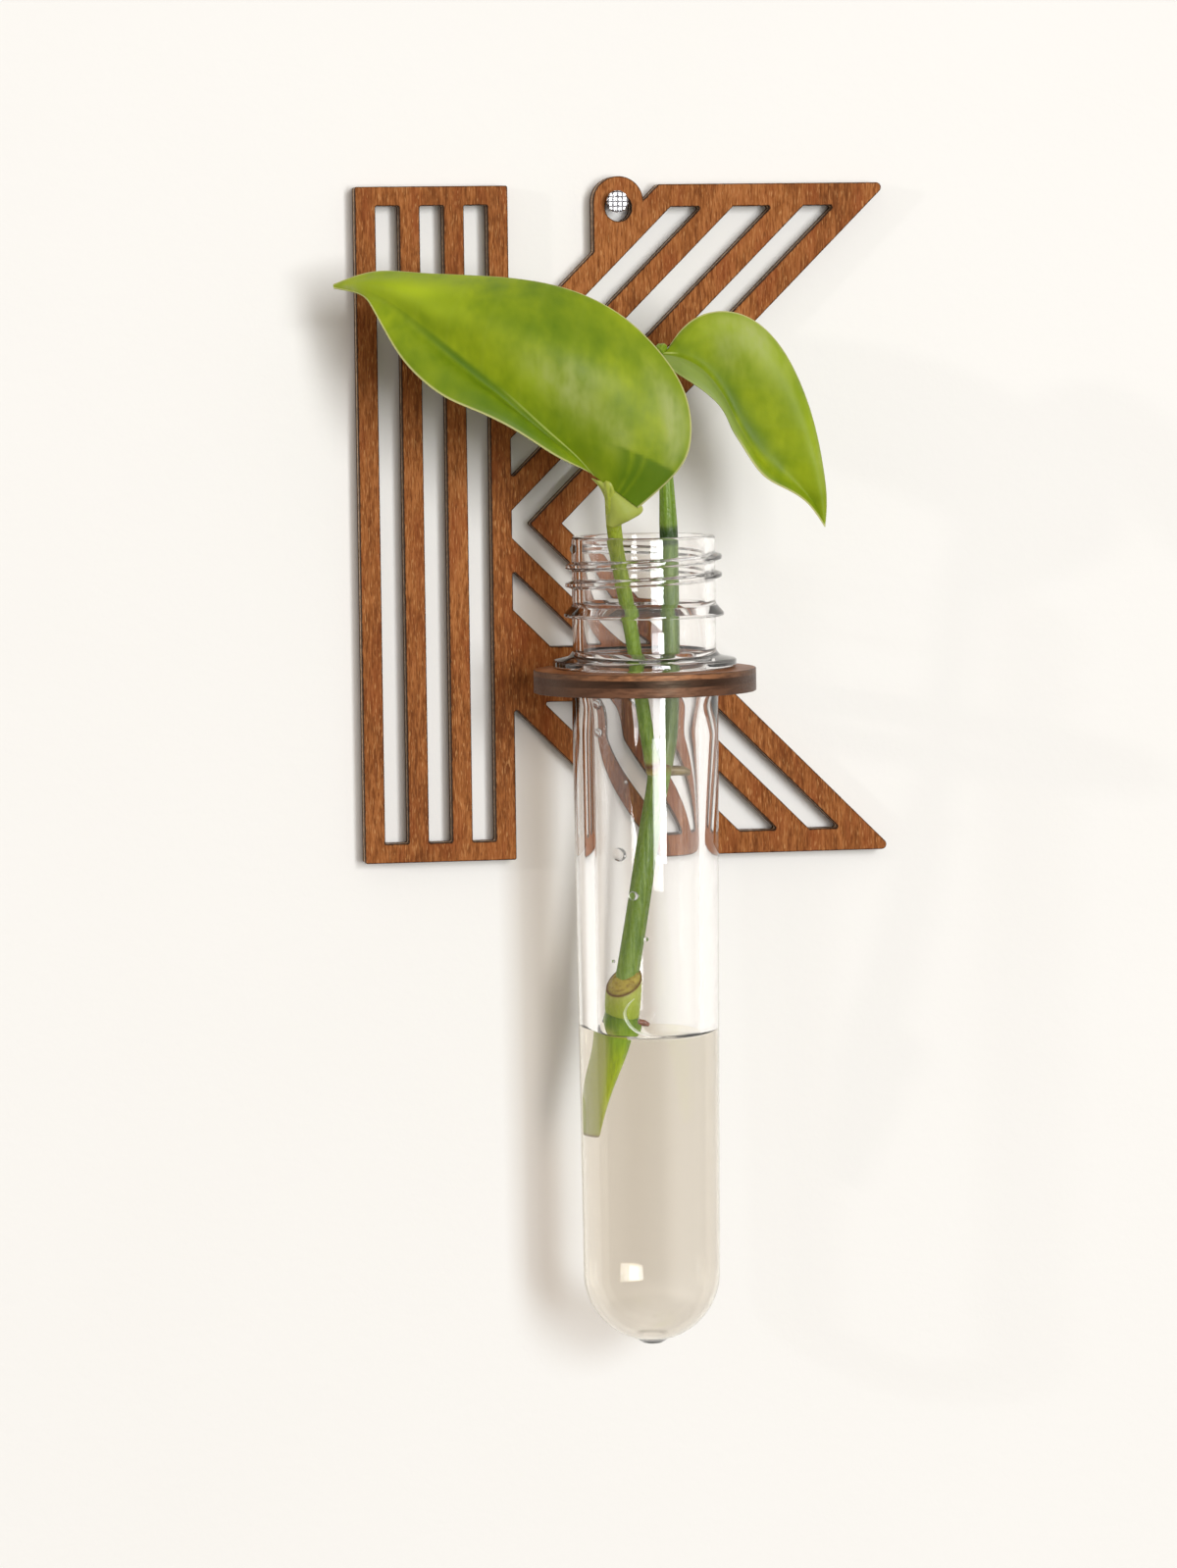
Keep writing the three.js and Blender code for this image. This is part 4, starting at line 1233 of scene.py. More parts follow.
@dataclass
class PreformTube:
    """The moulded tube; heights are drops below its rim, in millimetres."""

    rim_radius: float = 12.6
    bore_radius: float = 10.85
    rim_round: float = 0.5
    thread_height: float = 1.15
    thread_pitch: float = 3.15
    thread_start: float = 2.1
    thread_turns: float = 2.15
    thread_foot: float = 1.6
    thread_crest: float = 0.5
    thread_fade: float = 0.12
    bead_radius: float = 14.05
    bead_top: float = 11.6
    bead_bottom: float = 14.1
    flange_radius: float = 16.15
    flange_thickness: float = 2.1
    flange_edge: float = 1.5
    neck: float = 23.1
    body_radius: float = 12.9
    end_radius: float = 12.05
    wall_top: float = 3.5
    wall_end: float = 3.2
    shoulder: float = 12.0
    length: float = 143.0
    gate_radius: float = 2.15
    gate_height: float = 0.45
    fine_rows: float = 0.11
    coarse_rows: float = 6.0
    segments: int = 240
    finish: ClearBody = ClearBody(
        "clear_moulded_plastic", 1.57, tint=(0.985, 0.975, 0.965), passed=(1.0, 1.0, 1.0),
        edge_passed=(0.66, 0.61, 0.56), ripple_mm=0.006,
    )

    @property
    def dome_drop(self) -> float:
        """Drop of the centre of the round end."""
        return self.length - self.gate_height - self.end_radius

    def bore(self, rows: int = 26) -> np.ndarray:
        """Works out the bore, from under its rim to the axis at the bottom.

        The bore keeps its radius to the flange, narrows by half a cosine wave over the shoulder, tapers
        evenly to the round end and closes as a quarter circle.

        Args:
            rows: Rows of the round end.

        Returns:
            Radius and height of each row.
        """
        share = np.linspace(0.0, 1.0, 16)
        top = self.body_radius - self.wall_top
        ease = 0.5 - 0.5 * np.cos(np.pi * share)
        radius = self.bore_radius + (top - self.bore_radius) * ease
        narrow = np.stack([radius, -self.neck - self.shoulder * share], axis=1)
        end = self.end_radius - self.wall_end
        angle = np.linspace(0.0, np.pi / 2, rows)
        dome = np.stack([end * np.cos(angle), -self.dome_drop - end * np.sin(angle)], axis=1)
        dome[-1, 0] = 0.0
        head = np.array([[self.bore_radius, -self.rim_round], [self.bore_radius, -self.neck * 0.5]])
        between = narrow[-1] + (dome[0] - narrow[-1]) * np.linspace(0.0, 1.0, 12)[1:-1, None]
        return np.vstack([head, narrow, between, dome])

    def outside(self) -> np.ndarray:
        """Works out the outside, from the axis at the bottom up to the rim's inner edge.

        Returns:
            Radius and height of each row.
        """
        gate, bottom = self.gate_radius, -self.length
        angle = np.linspace(0.0, np.pi / 2, 34)
        dome = self.end_radius * np.stack([np.cos(angle), -np.sin(angle)], axis=1) - [0.0, self.dome_drop]
        dome = dome[dome[:, 0] > gate + 0.4][::-1]
        nub = [
            (0.0, bottom), (gate - 0.45, bottom), (gate - 0.1, bottom + 0.2),
            (gate, bottom + self.gate_height * 0.7), (gate + 0.35, bottom + self.gate_height + 0.02),
        ]
        seat, rim, bead = -self.neck, self.rim_radius, self.bead_radius
        foot = seat + self.flange_thickness
        inner = -self.rim_round - 0.1
        neck = rounded_outline([
            (0.0, seat - 20.0, 0.0), (self.body_radius, seat - 20.0, 0.0), (self.body_radius, seat, 0.25),
            (self.flange_radius, seat, 0.35), (self.flange_radius, seat + self.flange_edge, 0.5),
            (rim + 0.7, foot, 0.8), (rim, foot + 0.9, 0.5), (rim, -self.bead_bottom, 0.12),
            (bead, -self.bead_bottom, 0.25), (bead, 0.55 - self.bead_bottom, 0.4),
            (rim + 0.3, -self.bead_top - 0.6, 0.8), (rim, -self.bead_top, 0.5), (rim, 0.0, self.rim_round),
            (self.bore_radius, 0.0, self.rim_round), (self.bore_radius, inner, 0.0), (0.0, inner, 0.0),
        ], 5)
        low = np.flatnonzero(neck[:, 0] > 1.0)[0] + 1
        high = np.flatnonzero((neck[:, 0] > 1.0) & (neck[:, 1] > -self.rim_round - 0.05))[-1]
        return np.vstack([nub, dome, neck[low : high + 1]])

    def threaded(self, profile: np.ndarray) -> tuple[np.ndarray, np.ndarray]:
        """Sets rows close enough for the thread and works out its ridge.

        A ridge stands where the height is within half its foot of the helix -start - pitch turn, and
        its side rises by a smooth step from foot to crest. The turn begins at the left and runs behind
        the neck first, and the ridge fades at both ends.

        Args:
            profile: Radius and height of the whole wall's points.

        Returns:
            Radius and height of each row, and the ridge's height over each inner row and column.
        """
        step = np.linalg.norm(np.diff(profile, axis=0), axis=1)
        length = run_along(profile)
        above_bead = profile[:-1, 1] >= -self.bead_top - 0.1
        on_neck = above_bead & (np.abs(profile[:-1, 0] - self.rim_radius) < 0.05)
        spacing = np.where(on_neck & (step > 1.0), self.fine_rows, self.coarse_rows)
        pieces = np.ceil(step / spacing).astype(int)
        marks = np.repeat(length[:-1], pieces) + np.repeat(step / pieces, pieces) * (
            np.arange(pieces.sum()) - np.repeat(np.cumsum(pieces) - pieces, pieces)
        )
        marks = np.append(marks, length[-1])
        rows = resampled(profile, length, marks)
        first = ((np.pi - turns(self.segments)) % (2.0 * np.pi)) / (2.0 * np.pi)
        height = rows[1:-1, 1][:, None]
        ridge = np.zeros((len(rows) - 2, self.segments))
        for lap in range(math.ceil(self.thread_turns)):
            turn = first + lap
            off = np.abs(height + self.thread_start + self.thread_pitch * turn)
            side = smooth_step((self.thread_foot / 2 - off) / ((self.thread_foot - self.thread_crest) / 2))
            fade = smooth_step(np.minimum(turn, self.thread_turns - turn) / self.thread_fade)
            ridge = np.maximum(ridge, self.thread_height * side * fade)
        outer = (rows[1:-1, 0] > self.rim_radius - 0.05) & (rows[1:-1, 1] > -self.bead_top)
        return rows, ridge * outer[:, None]

    def build(self, seat: Point) -> bpy.types.Object:
        """Makes the tube about its axis.

        Args:
            seat: The tube's axis at its rim.

        Returns:
            The tube, on its own body.
        """
        rows, ridge = self.threaded(np.vstack([self.outside(), self.bore()]))
        piece = Piece("moulded_tube", Body.TUBE, "clear_plastic", "preform_tube", 50.0)
        return piece.make(revolved(rows, self.segments, ridge), self.finish, seat)


@dataclass
class WaterFill:
    """The water in the tube, which climbs at the wall and round the stem."""

    drop: float = 88.2
    overlap: float = 0.03
    below_level: float = 0.2
    wall_rise: float = 1.1
    wall_fade: float = 1.0
    stem_rise: float = 5.2
    stem_fade: float = 0.95
    stem_centre: tuple[float, float] = (-4.85, 0.6)
    stem_radius: float = 2.75
    top_rows: int = 90
    crowding: float = 1.3
    segments: int = 180
    finish: ClearBody = ClearBody(
        "clear_water", 1.333, tint=(0.972, 0.95, 0.88), passed=(1.0, 1.0, 0.995),
        edge_passed=(1.0, 0.99, 0.98),
    )

    def surface(self, tube: PreformTube) -> Surface:
        """Works out the water.

        Its wall follows the bore, a little inside the plastic, to below_level under its level. Its top
        stands at the level, plus wall_rise e^(-g / wall_fade) at a gap g from the wall, plus stem_rise
        e^(-h / stem_fade) at a gap h from the stem. The top's rows crowd towards the wall by the power
        "crowding" of their share of the way in.

        Args:
            tube: The tube that it stands in.

        Returns:
            The closed surface about the tube's axis.
        """
        bore = tube.bore()
        level = -self.drop
        under = bore[bore[:, 1] < level - self.below_level][::-1].copy()
        wall = float(np.interp(level, bore[::-1, 1], bore[::-1, 0])) + self.overlap
        under[:, 0] += np.where(under[:, 0] > 0, self.overlap, 0.0)
        top = wall * (1.0 - np.linspace(0.0, 1.0, self.top_rows) ** self.crowding)
        made = revolved(np.vstack([under, np.stack([top, np.full(len(top), level)], axis=1)]), self.segments)
        x, y, z = made.points.T
        wall_gap = np.maximum(wall - np.hypot(x, y), 0.0)
        from_stem = np.hypot(x - self.stem_centre[0], y - self.stem_centre[1])
        stem_gap = np.maximum(from_stem - self.stem_radius, 0.0)
        rise = self.wall_rise * np.exp(-wall_gap / self.wall_fade)
        rise += self.stem_rise * np.exp(-stem_gap / self.stem_fade)
        made.points[:, 2] += np.where(z > level - 1e-6, rise, 0.0)
        return made

    def build(self, tube: PreformTube, seat: Point) -> bpy.types.Object:
        """Makes the water."""
        return Piece("water_fill", Body.TUBE, "water", "water").make(self.surface(tube), self.finish, seat)


@dataclass
class Droplets:
    """Drops of water on the tube's inner wall: angle left of the front, drop below the rim, radius."""

    drops: tuple[tuple[float, float, float], ...] = (
        (38.0, 55.2, 1.2), (24.0, 62.4, 0.8), (58.0, 29.0, 0.9), (60.0, 34.0, 0.8),
        (56.0, 27.2, 0.5), (30.0, 42.5, 0.35), (12.0, 70.0, 0.4), (46.0, 74.0, 0.3),
    )
    swell: float = 0.55
    rooted: float = 0.12
    foot: float = 0.96
    columns: int = 28
    finish: ClearBody = ClearBody(
        "water_drops", 1.333, tint=(1.0, 1.0, 1.0), passed=(0.97, 0.97, 0.97), edge_passed=(0.6, 0.6, 0.6)
    )

    def dome(self, left: float, drop: float, radius: float, bore: np.ndarray) -> Surface:
        """A flat dome on the wall: its height is swell radius (1 - q^2) at share q of its radius.

        Args:
            left: Angle left of the front, in degrees.
            drop: Drop of its middle below the rim.
            radius: Its radius.
            bore: Radius and height of the bore's rows, upwards.

        Returns:
            The closed drop, its foot a little inside the wall.
        """
        share = np.concatenate([np.linspace(0.0, 1.0, 8)[1:], [self.foot]])
        lift = radius * self.swell * (1.0 - share**2)
        lift[-1] = -self.rooted
        spread = np.concatenate([[0.0], radius * share, [0.0]])
        made = revolved(np.stack([spread, [radius * self.swell, *lift, -self.rooted]], axis=1), self.columns)
        aside, up, inward = made.points.T
        wall = float(np.interp(-drop, bore[:, 1], bore[:, 0]))
        turn = -math.pi / 2 - math.radians(left) + aside / wall
        reach = wall - inward
        made.points = np.stack([reach * np.cos(turn), reach * np.sin(turn), up - drop], axis=1)
        return made.outward()

    def build(self, tube: PreformTube, seat: Point) -> bpy.types.Object:
        """Makes all the drops as one piece."""
        whole = joined([self.dome(*drop, tube.bore()[::-1]) for drop in self.drops])
        return Piece("wall_droplets", Body.TUBE, "water").make(whole, self.finish, seat)


@dataclass(frozen=True)
class Patch:
    """Painted shade, light or sheen on a leaf: amount e^(-((u - along) / long)^2 - ((v - across) / wide)^2).
    """

    along: float
    across: float
    long: float
    wide: float
    amount: float

    def value(self, u: np.ndarray, v: np.ndarray) -> np.ndarray:
        """Its strength at shares u of the length and v of the width."""
        off = ((u - self.along) / self.long) ** 2 + ((v - self.across) / self.wide) ** 2
        return self.amount * np.exp(-off)


@dataclass
class LeafBlade:
    """A leaf: a thin shell about the smooth surface through its rails, base to tip."""

    name: str
    node: str
    rails: tuple[tuple[Point, ...], ...]
    finish: WaxyLeaf
    # Patches of painted shade (painted light where below 0), then patches of painted sheen.
    shades: tuple[Patch, ...] = ()
    painted_sheens: tuple[Patch, ...] = ()
    painted_shadow: tuple[float, float, float] = (0.0, 1.0, 0.0)
    rolled: tuple[float, float] = (2.0, 1.0)
    thickness: float = 0.5
    thin_edge: float = 0.35
    thin_width: float = 1.2
    groove: float = 0.015
    groove_half: float = 0.8
    groove_end: float = 0.36
    groove_fade: float = 0.16
    quilt: float = 0.035
    quilt_margin: float = 3.0
    calm_ends: float = 0.12
    painted_fold_shade: Patch = Patch(0.5, 0.5, 0.1, 0.1, 0.0)
    along: int = 180
    across: int = 96

    def areas(self, u: np.ndarray, v: np.ndarray) -> tuple[np.ndarray, np.ndarray]:
        """Works out the painted shade and painted sheen over the blade.

        Soft patches add up, and the fold's painted shade is one kept to the lower side of the midrib. The
        painted shadow is a dark area with a crisp upper edge: u below its first number less its third times
        (v - its second). It begins softly at its second number, with two lighter stripes inside.

        Args:
            u: Shares of the length, from the base.
            v: Shares of the width, from the lower margin.

        Returns:
            Painted shade and painted sheen at each place.
        """
        shade = sum((p.value(u, v) for p in self.shades), np.zeros(np.broadcast(u, v).shape))
        painted_sheen = sum((p.value(u, v) for p in self.painted_sheens), np.zeros(np.broadcast(u, v).shape))
        # Painted shadow: a crisp-edged dark area for the shadow that falls on the blade near its base.
        reach, start, slope = self.painted_shadow
        inside = smooth_step((reach - slope * (v - start) - u) / 0.01 + 0.5)
        inside = inside * smooth_step((v - start) / 0.11 + 0.5)
        # Painted shade of the fold, kept below the midrib.
        shade = shade + self.painted_fold_shade.value(u, v) * smooth_step((0.5 - v) / 0.035 + 0.5)
        lines = v - start - 0.2 * u
        stripe = np.exp(-(((lines - 0.035) / 0.012) ** 2)) + 0.7 * np.exp(-(((lines - 0.085) / 0.01) ** 2))
        shade = shade * (1.0 - inside) + inside * (0.82 - 0.5 * stripe)
        return np.clip(shade, -1.0, 1.0), np.clip(painted_sheen * (1.0 - inside), 0.0, 1.0)

    def surface(self) -> Surface:
        """Works out the blade.

        The middle surface is P(u, v) = sum of Wu[i] Wv[j] R[j, i] over the rails R, with spline weights
        W. Its relief along the normal is a groove e^(-(m / groove_half)^2) at a distance m from the
        midrib, which ends before the middle, and a quilt of cosine waves between slanting side veins.
        The shell is full thick from thin_width inside its margin and a share thin_edge of that at it.

        Returns:
            The closed shell with its values.
        """
        rails = np.array(self.rails)
        u = np.linspace(0.0, 1.0, self.along)
        v = np.linspace(0.0, 1.0, self.across)
        lengthwise, crosswise = spline_weights(rails.shape[1], u), spline_weights(len(rails), v)
        middle = np.einsum("ui,vj,jik->uvk", lengthwise, crosswise, rails)
        normal = np.cross(np.gradient(middle, axis=0), np.gradient(middle, axis=1))
        normal /= np.maximum(np.linalg.norm(normal, axis=2), 1e-9)[:, :, None]
        step = np.linalg.norm(np.diff(middle, axis=1), axis=2)
        run = np.concatenate([np.zeros((self.along, 1)), np.cumsum(step, axis=1)], axis=1)
        half_way = (run[:, (self.across - 1) // 2] + run[:, self.across // 2])[:, None] / 2
        aside, edge = run - half_way, np.minimum(run, run[:, -1:] - run)
        body = (smooth_step(u / self.calm_ends) * smooth_step((1.0 - u) / self.calm_ends))[:, None]
        phase = 2.0 * np.pi * (u[:, None] * self.finish.veins - np.abs(aside) * self.finish.slant)
        fill = smooth_step(np.abs(aside) / self.quilt_margin) * smooth_step(edge / self.quilt_margin)
        fading = smooth_step((self.groove_end - u[:, None]) / self.groove_fade)
        groove = self.groove * np.exp(-((aside / self.groove_half) ** 2)) * fading
        relief = body * (groove + self.quilt * np.cos(phase) * fill)
        middle = middle + normal * relief[:, :, None]
        half = self.thin_edge + (1.0 - self.thin_edge) * smooth_step(edge / self.thin_width)
        half = half * self.thickness / 2
        front = middle - normal * half[:, :, None]
        back = middle + normal * half[:, :, None]
        rings = np.concatenate([front, back[:, ::-1]], axis=1)
        columns = 2 * self.across
        k = np.arange(self.across - 1)
        first = np.stack([k, columns - 1 - k, columns - 2 - k, k + 1], axis=1)
        last = first[:, ::-1] + (self.along - 1) * columns
        shade, painted_sheen = self.areas(u[:, None], v[None, :])
        rolled_from, rolled_to = self.rolled
        roll = smooth_step((v[None, :] - rolled_from) / 0.04) * smooth_step((rolled_to - u[:, None]) / 0.2)
        faces = {
            "along": (np.repeat(u[:, None], self.across, axis=1),) * 2,
            "aside": (aside, aside),
            "edge": (edge, edge),
            "under": (roll, np.ones_like(roll)),
            # Painted shade and painted sheen, weaker or none on the back face.
            "shade": (shade, shade * 0.3),
            "painted_sheen": (painted_sheen, painted_sheen * 0.0),
        }
        values = {key: np.concatenate([a, b[:, ::-1]], axis=1).ravel() for key, (a, b) in faces.items()}
        quads = np.vstack([grid_quads(self.along, columns, True), first, last])
        return Surface(rings.reshape(-1, 3), quads, values=values).outward()

    def build(self, seat: Point) -> bpy.types.Object:
        """Makes the leaf."""
        return Piece(self.name, Body.CUTTING, "leaf", self.node).make(self.surface(), self.finish, seat)


@dataclass
class StemRun:
    """A stem along a smooth route, from the tube's axis at its rim, in millimetres."""

    name: str
    node: str
    route: tuple[Point, ...]
    radii: Knots
    finish: GreenStem
    slot: str = "stem"
    scars: Knots = ((0.0, 0.0),)
    soaked: Knots = ((0.0, 0.0),)
    bleach_side: float = 188.0
    bleach_end: float = -1.0
    sunk_end: float = -1.0
    ridge: float = 0.03
    ridges: int = 7
    aside: Point = (1.0, 0.0, 0.0)
    end_radii: tuple[float, ...] = (0.8, 0.93, 0.985)
    rows: int = 110
    columns: int = 36

    def surface(self) -> Surface:
        """Works out the stem.

        Its radius is r(t) (1 + ridge cos(ridges a + 3 t)), with both ends drawn in over three rows. Its
        bleached skin is where cos(a - bleach_side) > 1.25 t / bleach_end - 0.45.

        Returns:
            The closed stem with its values.
        """
        route = np.array(self.route)
        dense = spline_weights(len(route), np.linspace(0.0, 1.0, 600)) @ route
        length = run_along(dense)
        end = np.array([0.0, 0.002, 0.006, 0.012])
        share = np.concatenate([end, np.linspace(0.02, 0.98, self.rows), 1.0 - end[::-1]])
        path = resampled(dense, length, share * length[-1])
        radius = knotted(share, self.radii)
        radius[:3] *= self.end_radii
        radius[-3:] *= self.end_radii[::-1]
        angle = turns(self.columns)
        wave = 1.0 + self.ridge * np.cos(self.ridges * angle[None] + 3.0 * share[:, None])
        made = swept(path, radius[:, None] * wave, self.aside)
        along, around = made.values["along"], np.append(np.tile(angle, len(share)), [0.0, 0.0])
        made.values["scar"] = knotted(along, self.scars, 0.004)
        made.values["wet"] = knotted(along, self.soaked, 0.004)
        facing = np.cos(around - math.radians(self.bleach_side))
        bleach = smooth_step((facing + 0.45 - 1.25 * along / self.bleach_end) / 0.5 + 0.5)
        made.values["pale"] = bleach * smooth_step((self.bleach_end - along) / 0.04)
        made.values["sunk"] = smooth_step((self.sunk_end - along) / 0.03)
        return made

    def build(self, seat: Point) -> bpy.types.Object:
        """Makes the stem."""
        piece = Piece(self.name, Body.CUTTING, self.slot, self.node, 50.0)
        return piece.make(self.surface(), self.finish, seat)


@dataclass
class CutSheath:
    """The collar left of a leaf cut off at the lower node: a cup round the stem, its top a tan scar."""

    foot: Point = (-4.75, 0.15, -83.9)
    top: Point = (-4.35, -0.35, -78.3)
    foot_radius: float = 3.02
    top_radius: float = 3.15
    foot_lift: tuple[float, float] = (-0.6, 0.9)
    top_lift: tuple[float, float] = (1.2, 2.1)
    swell: float = 0.09
    depth: float = 0.9
    columns: int = 64
    finish: GreenStem = GreenStem(
        "sheath_green", ((0.0, (0.33, 0.42, 0.03)), (0.5, (0.38, 0.45, 0.05)), (1.0, (0.42, 0.46, 0.09))),
        stripe=0.1,
    )

    def surface(self) -> Surface:
        """Works out the cup.

        Its radius goes from foot to top with a slight swell sin(pi t), and its depth is a share of that.
        Its ends are lifted by a cos + b sin of the turn, less towards the middle of each end.

        Returns:
            The closed cup with its values.
        """
        outer = np.array([0.0, 0.0, 0.02, *np.linspace(0.1, 0.97, 10), 1.0])
        inner = np.array([0.95, 0.88, 0.74, 0.66, 0.3])
        share = np.concatenate([outer, [1.01, 1.02, 1.08, 1.16, 1.16]])
        reach = self.foot_radius + (self.top_radius - self.foot_radius) * outer
        reach += self.swell * np.sin(np.pi * outer)
        reach[:2] -= np.array([0.6, 0.12])
        reach[-1] -= 0.06
        radius = np.concatenate([reach, self.top_radius * inner])[:, None]
        start, end = np.array(self.foot), np.array(self.top)
        centre = start + (end - start) * share[:, None]
        angle = turns(self.columns)[None]
        low, high = (a * np.cos(angle) + b * np.sin(angle) for a, b in (self.foot_lift, self.top_lift))
        blend = np.clip(share, 0.0, 1.0)[:, None]
        width = (radius / self.top_radius).clip(0.0, 1.0)
        x = centre[:, :1] + radius * np.cos(angle)
        y = centre[:, 1:2] + self.depth * radius * np.sin(angle)
        z = centre[:, 2:] + (low * (1.0 - blend) + high * blend) * width
        poles = ((*centre[row, :2], z[row].mean()) for row in (0, -1))
        made = capped(np.stack([x, y, z], axis=2), *poles)
        scar = np.concatenate([np.zeros(len(outer) - 2), [0.2, 0.5], [0.6, 0.8, 1.0, 1.0, 1.0]])
        made.values["along"] = ring_values(blend[:, 0], self.columns)
        made.values["scar"] = ring_values(scar, self.columns)
        return made

    def build(self, seat: Point) -> bpy.types.Object:
        """Makes the collar."""
        return Piece("cut_sheath", Body.CUTTING, "stem", "", 50.0).make(self.surface(), self.finish, seat)


@dataclass
class ClingingFilm:
    """The thick edge of the water that clings to the collar: a bead of radius r (0.35 + sin(pi t))."""

    route: tuple[Point, ...] = (
        (-3.1, -3.45, -81.05), (-4.1, -3.75, -82.0), (-4.7, -3.8, -83.33), (-4.4, -3.95, -84.88),
        (-3.4, -4.1, -86.28), (-2.05, -4.2, -87.17), (-0.35, -4.3, -87.8), (1.7, -4.4, -88.15),
    )
    radius: float = 0.2
    rows: int = 70
    columns: int = 16
    finish: ClearBody = ClearBody(
        "clinging_water", 1.5, tint=(1.0, 1.0, 1.0), passed=(0.97, 0.97, 0.97), edge_passed=(0.8, 0.8, 0.8),
        roughness=0.3,
    )

    def build(self, seat: Point) -> bpy.types.Object:
        """Makes the film's edge.

        Args:
            seat: The tube's axis at its rim.

        Returns:
            The film's edge, on the cutting's body.
        """
        share = np.linspace(0.0, 1.0, self.rows)
        path = spline_weights(len(self.route), share) @ np.array(self.route)
        radii = np.repeat(self.radius * (0.35 + np.sin(np.pi * share))[:, None], self.columns, axis=1)
        surface = swept(path, radii, (0.0, 1.0, 0.0))
        return Piece("collar_water_film", Body.CUTTING, "water").make(surface, self.finish, seat)


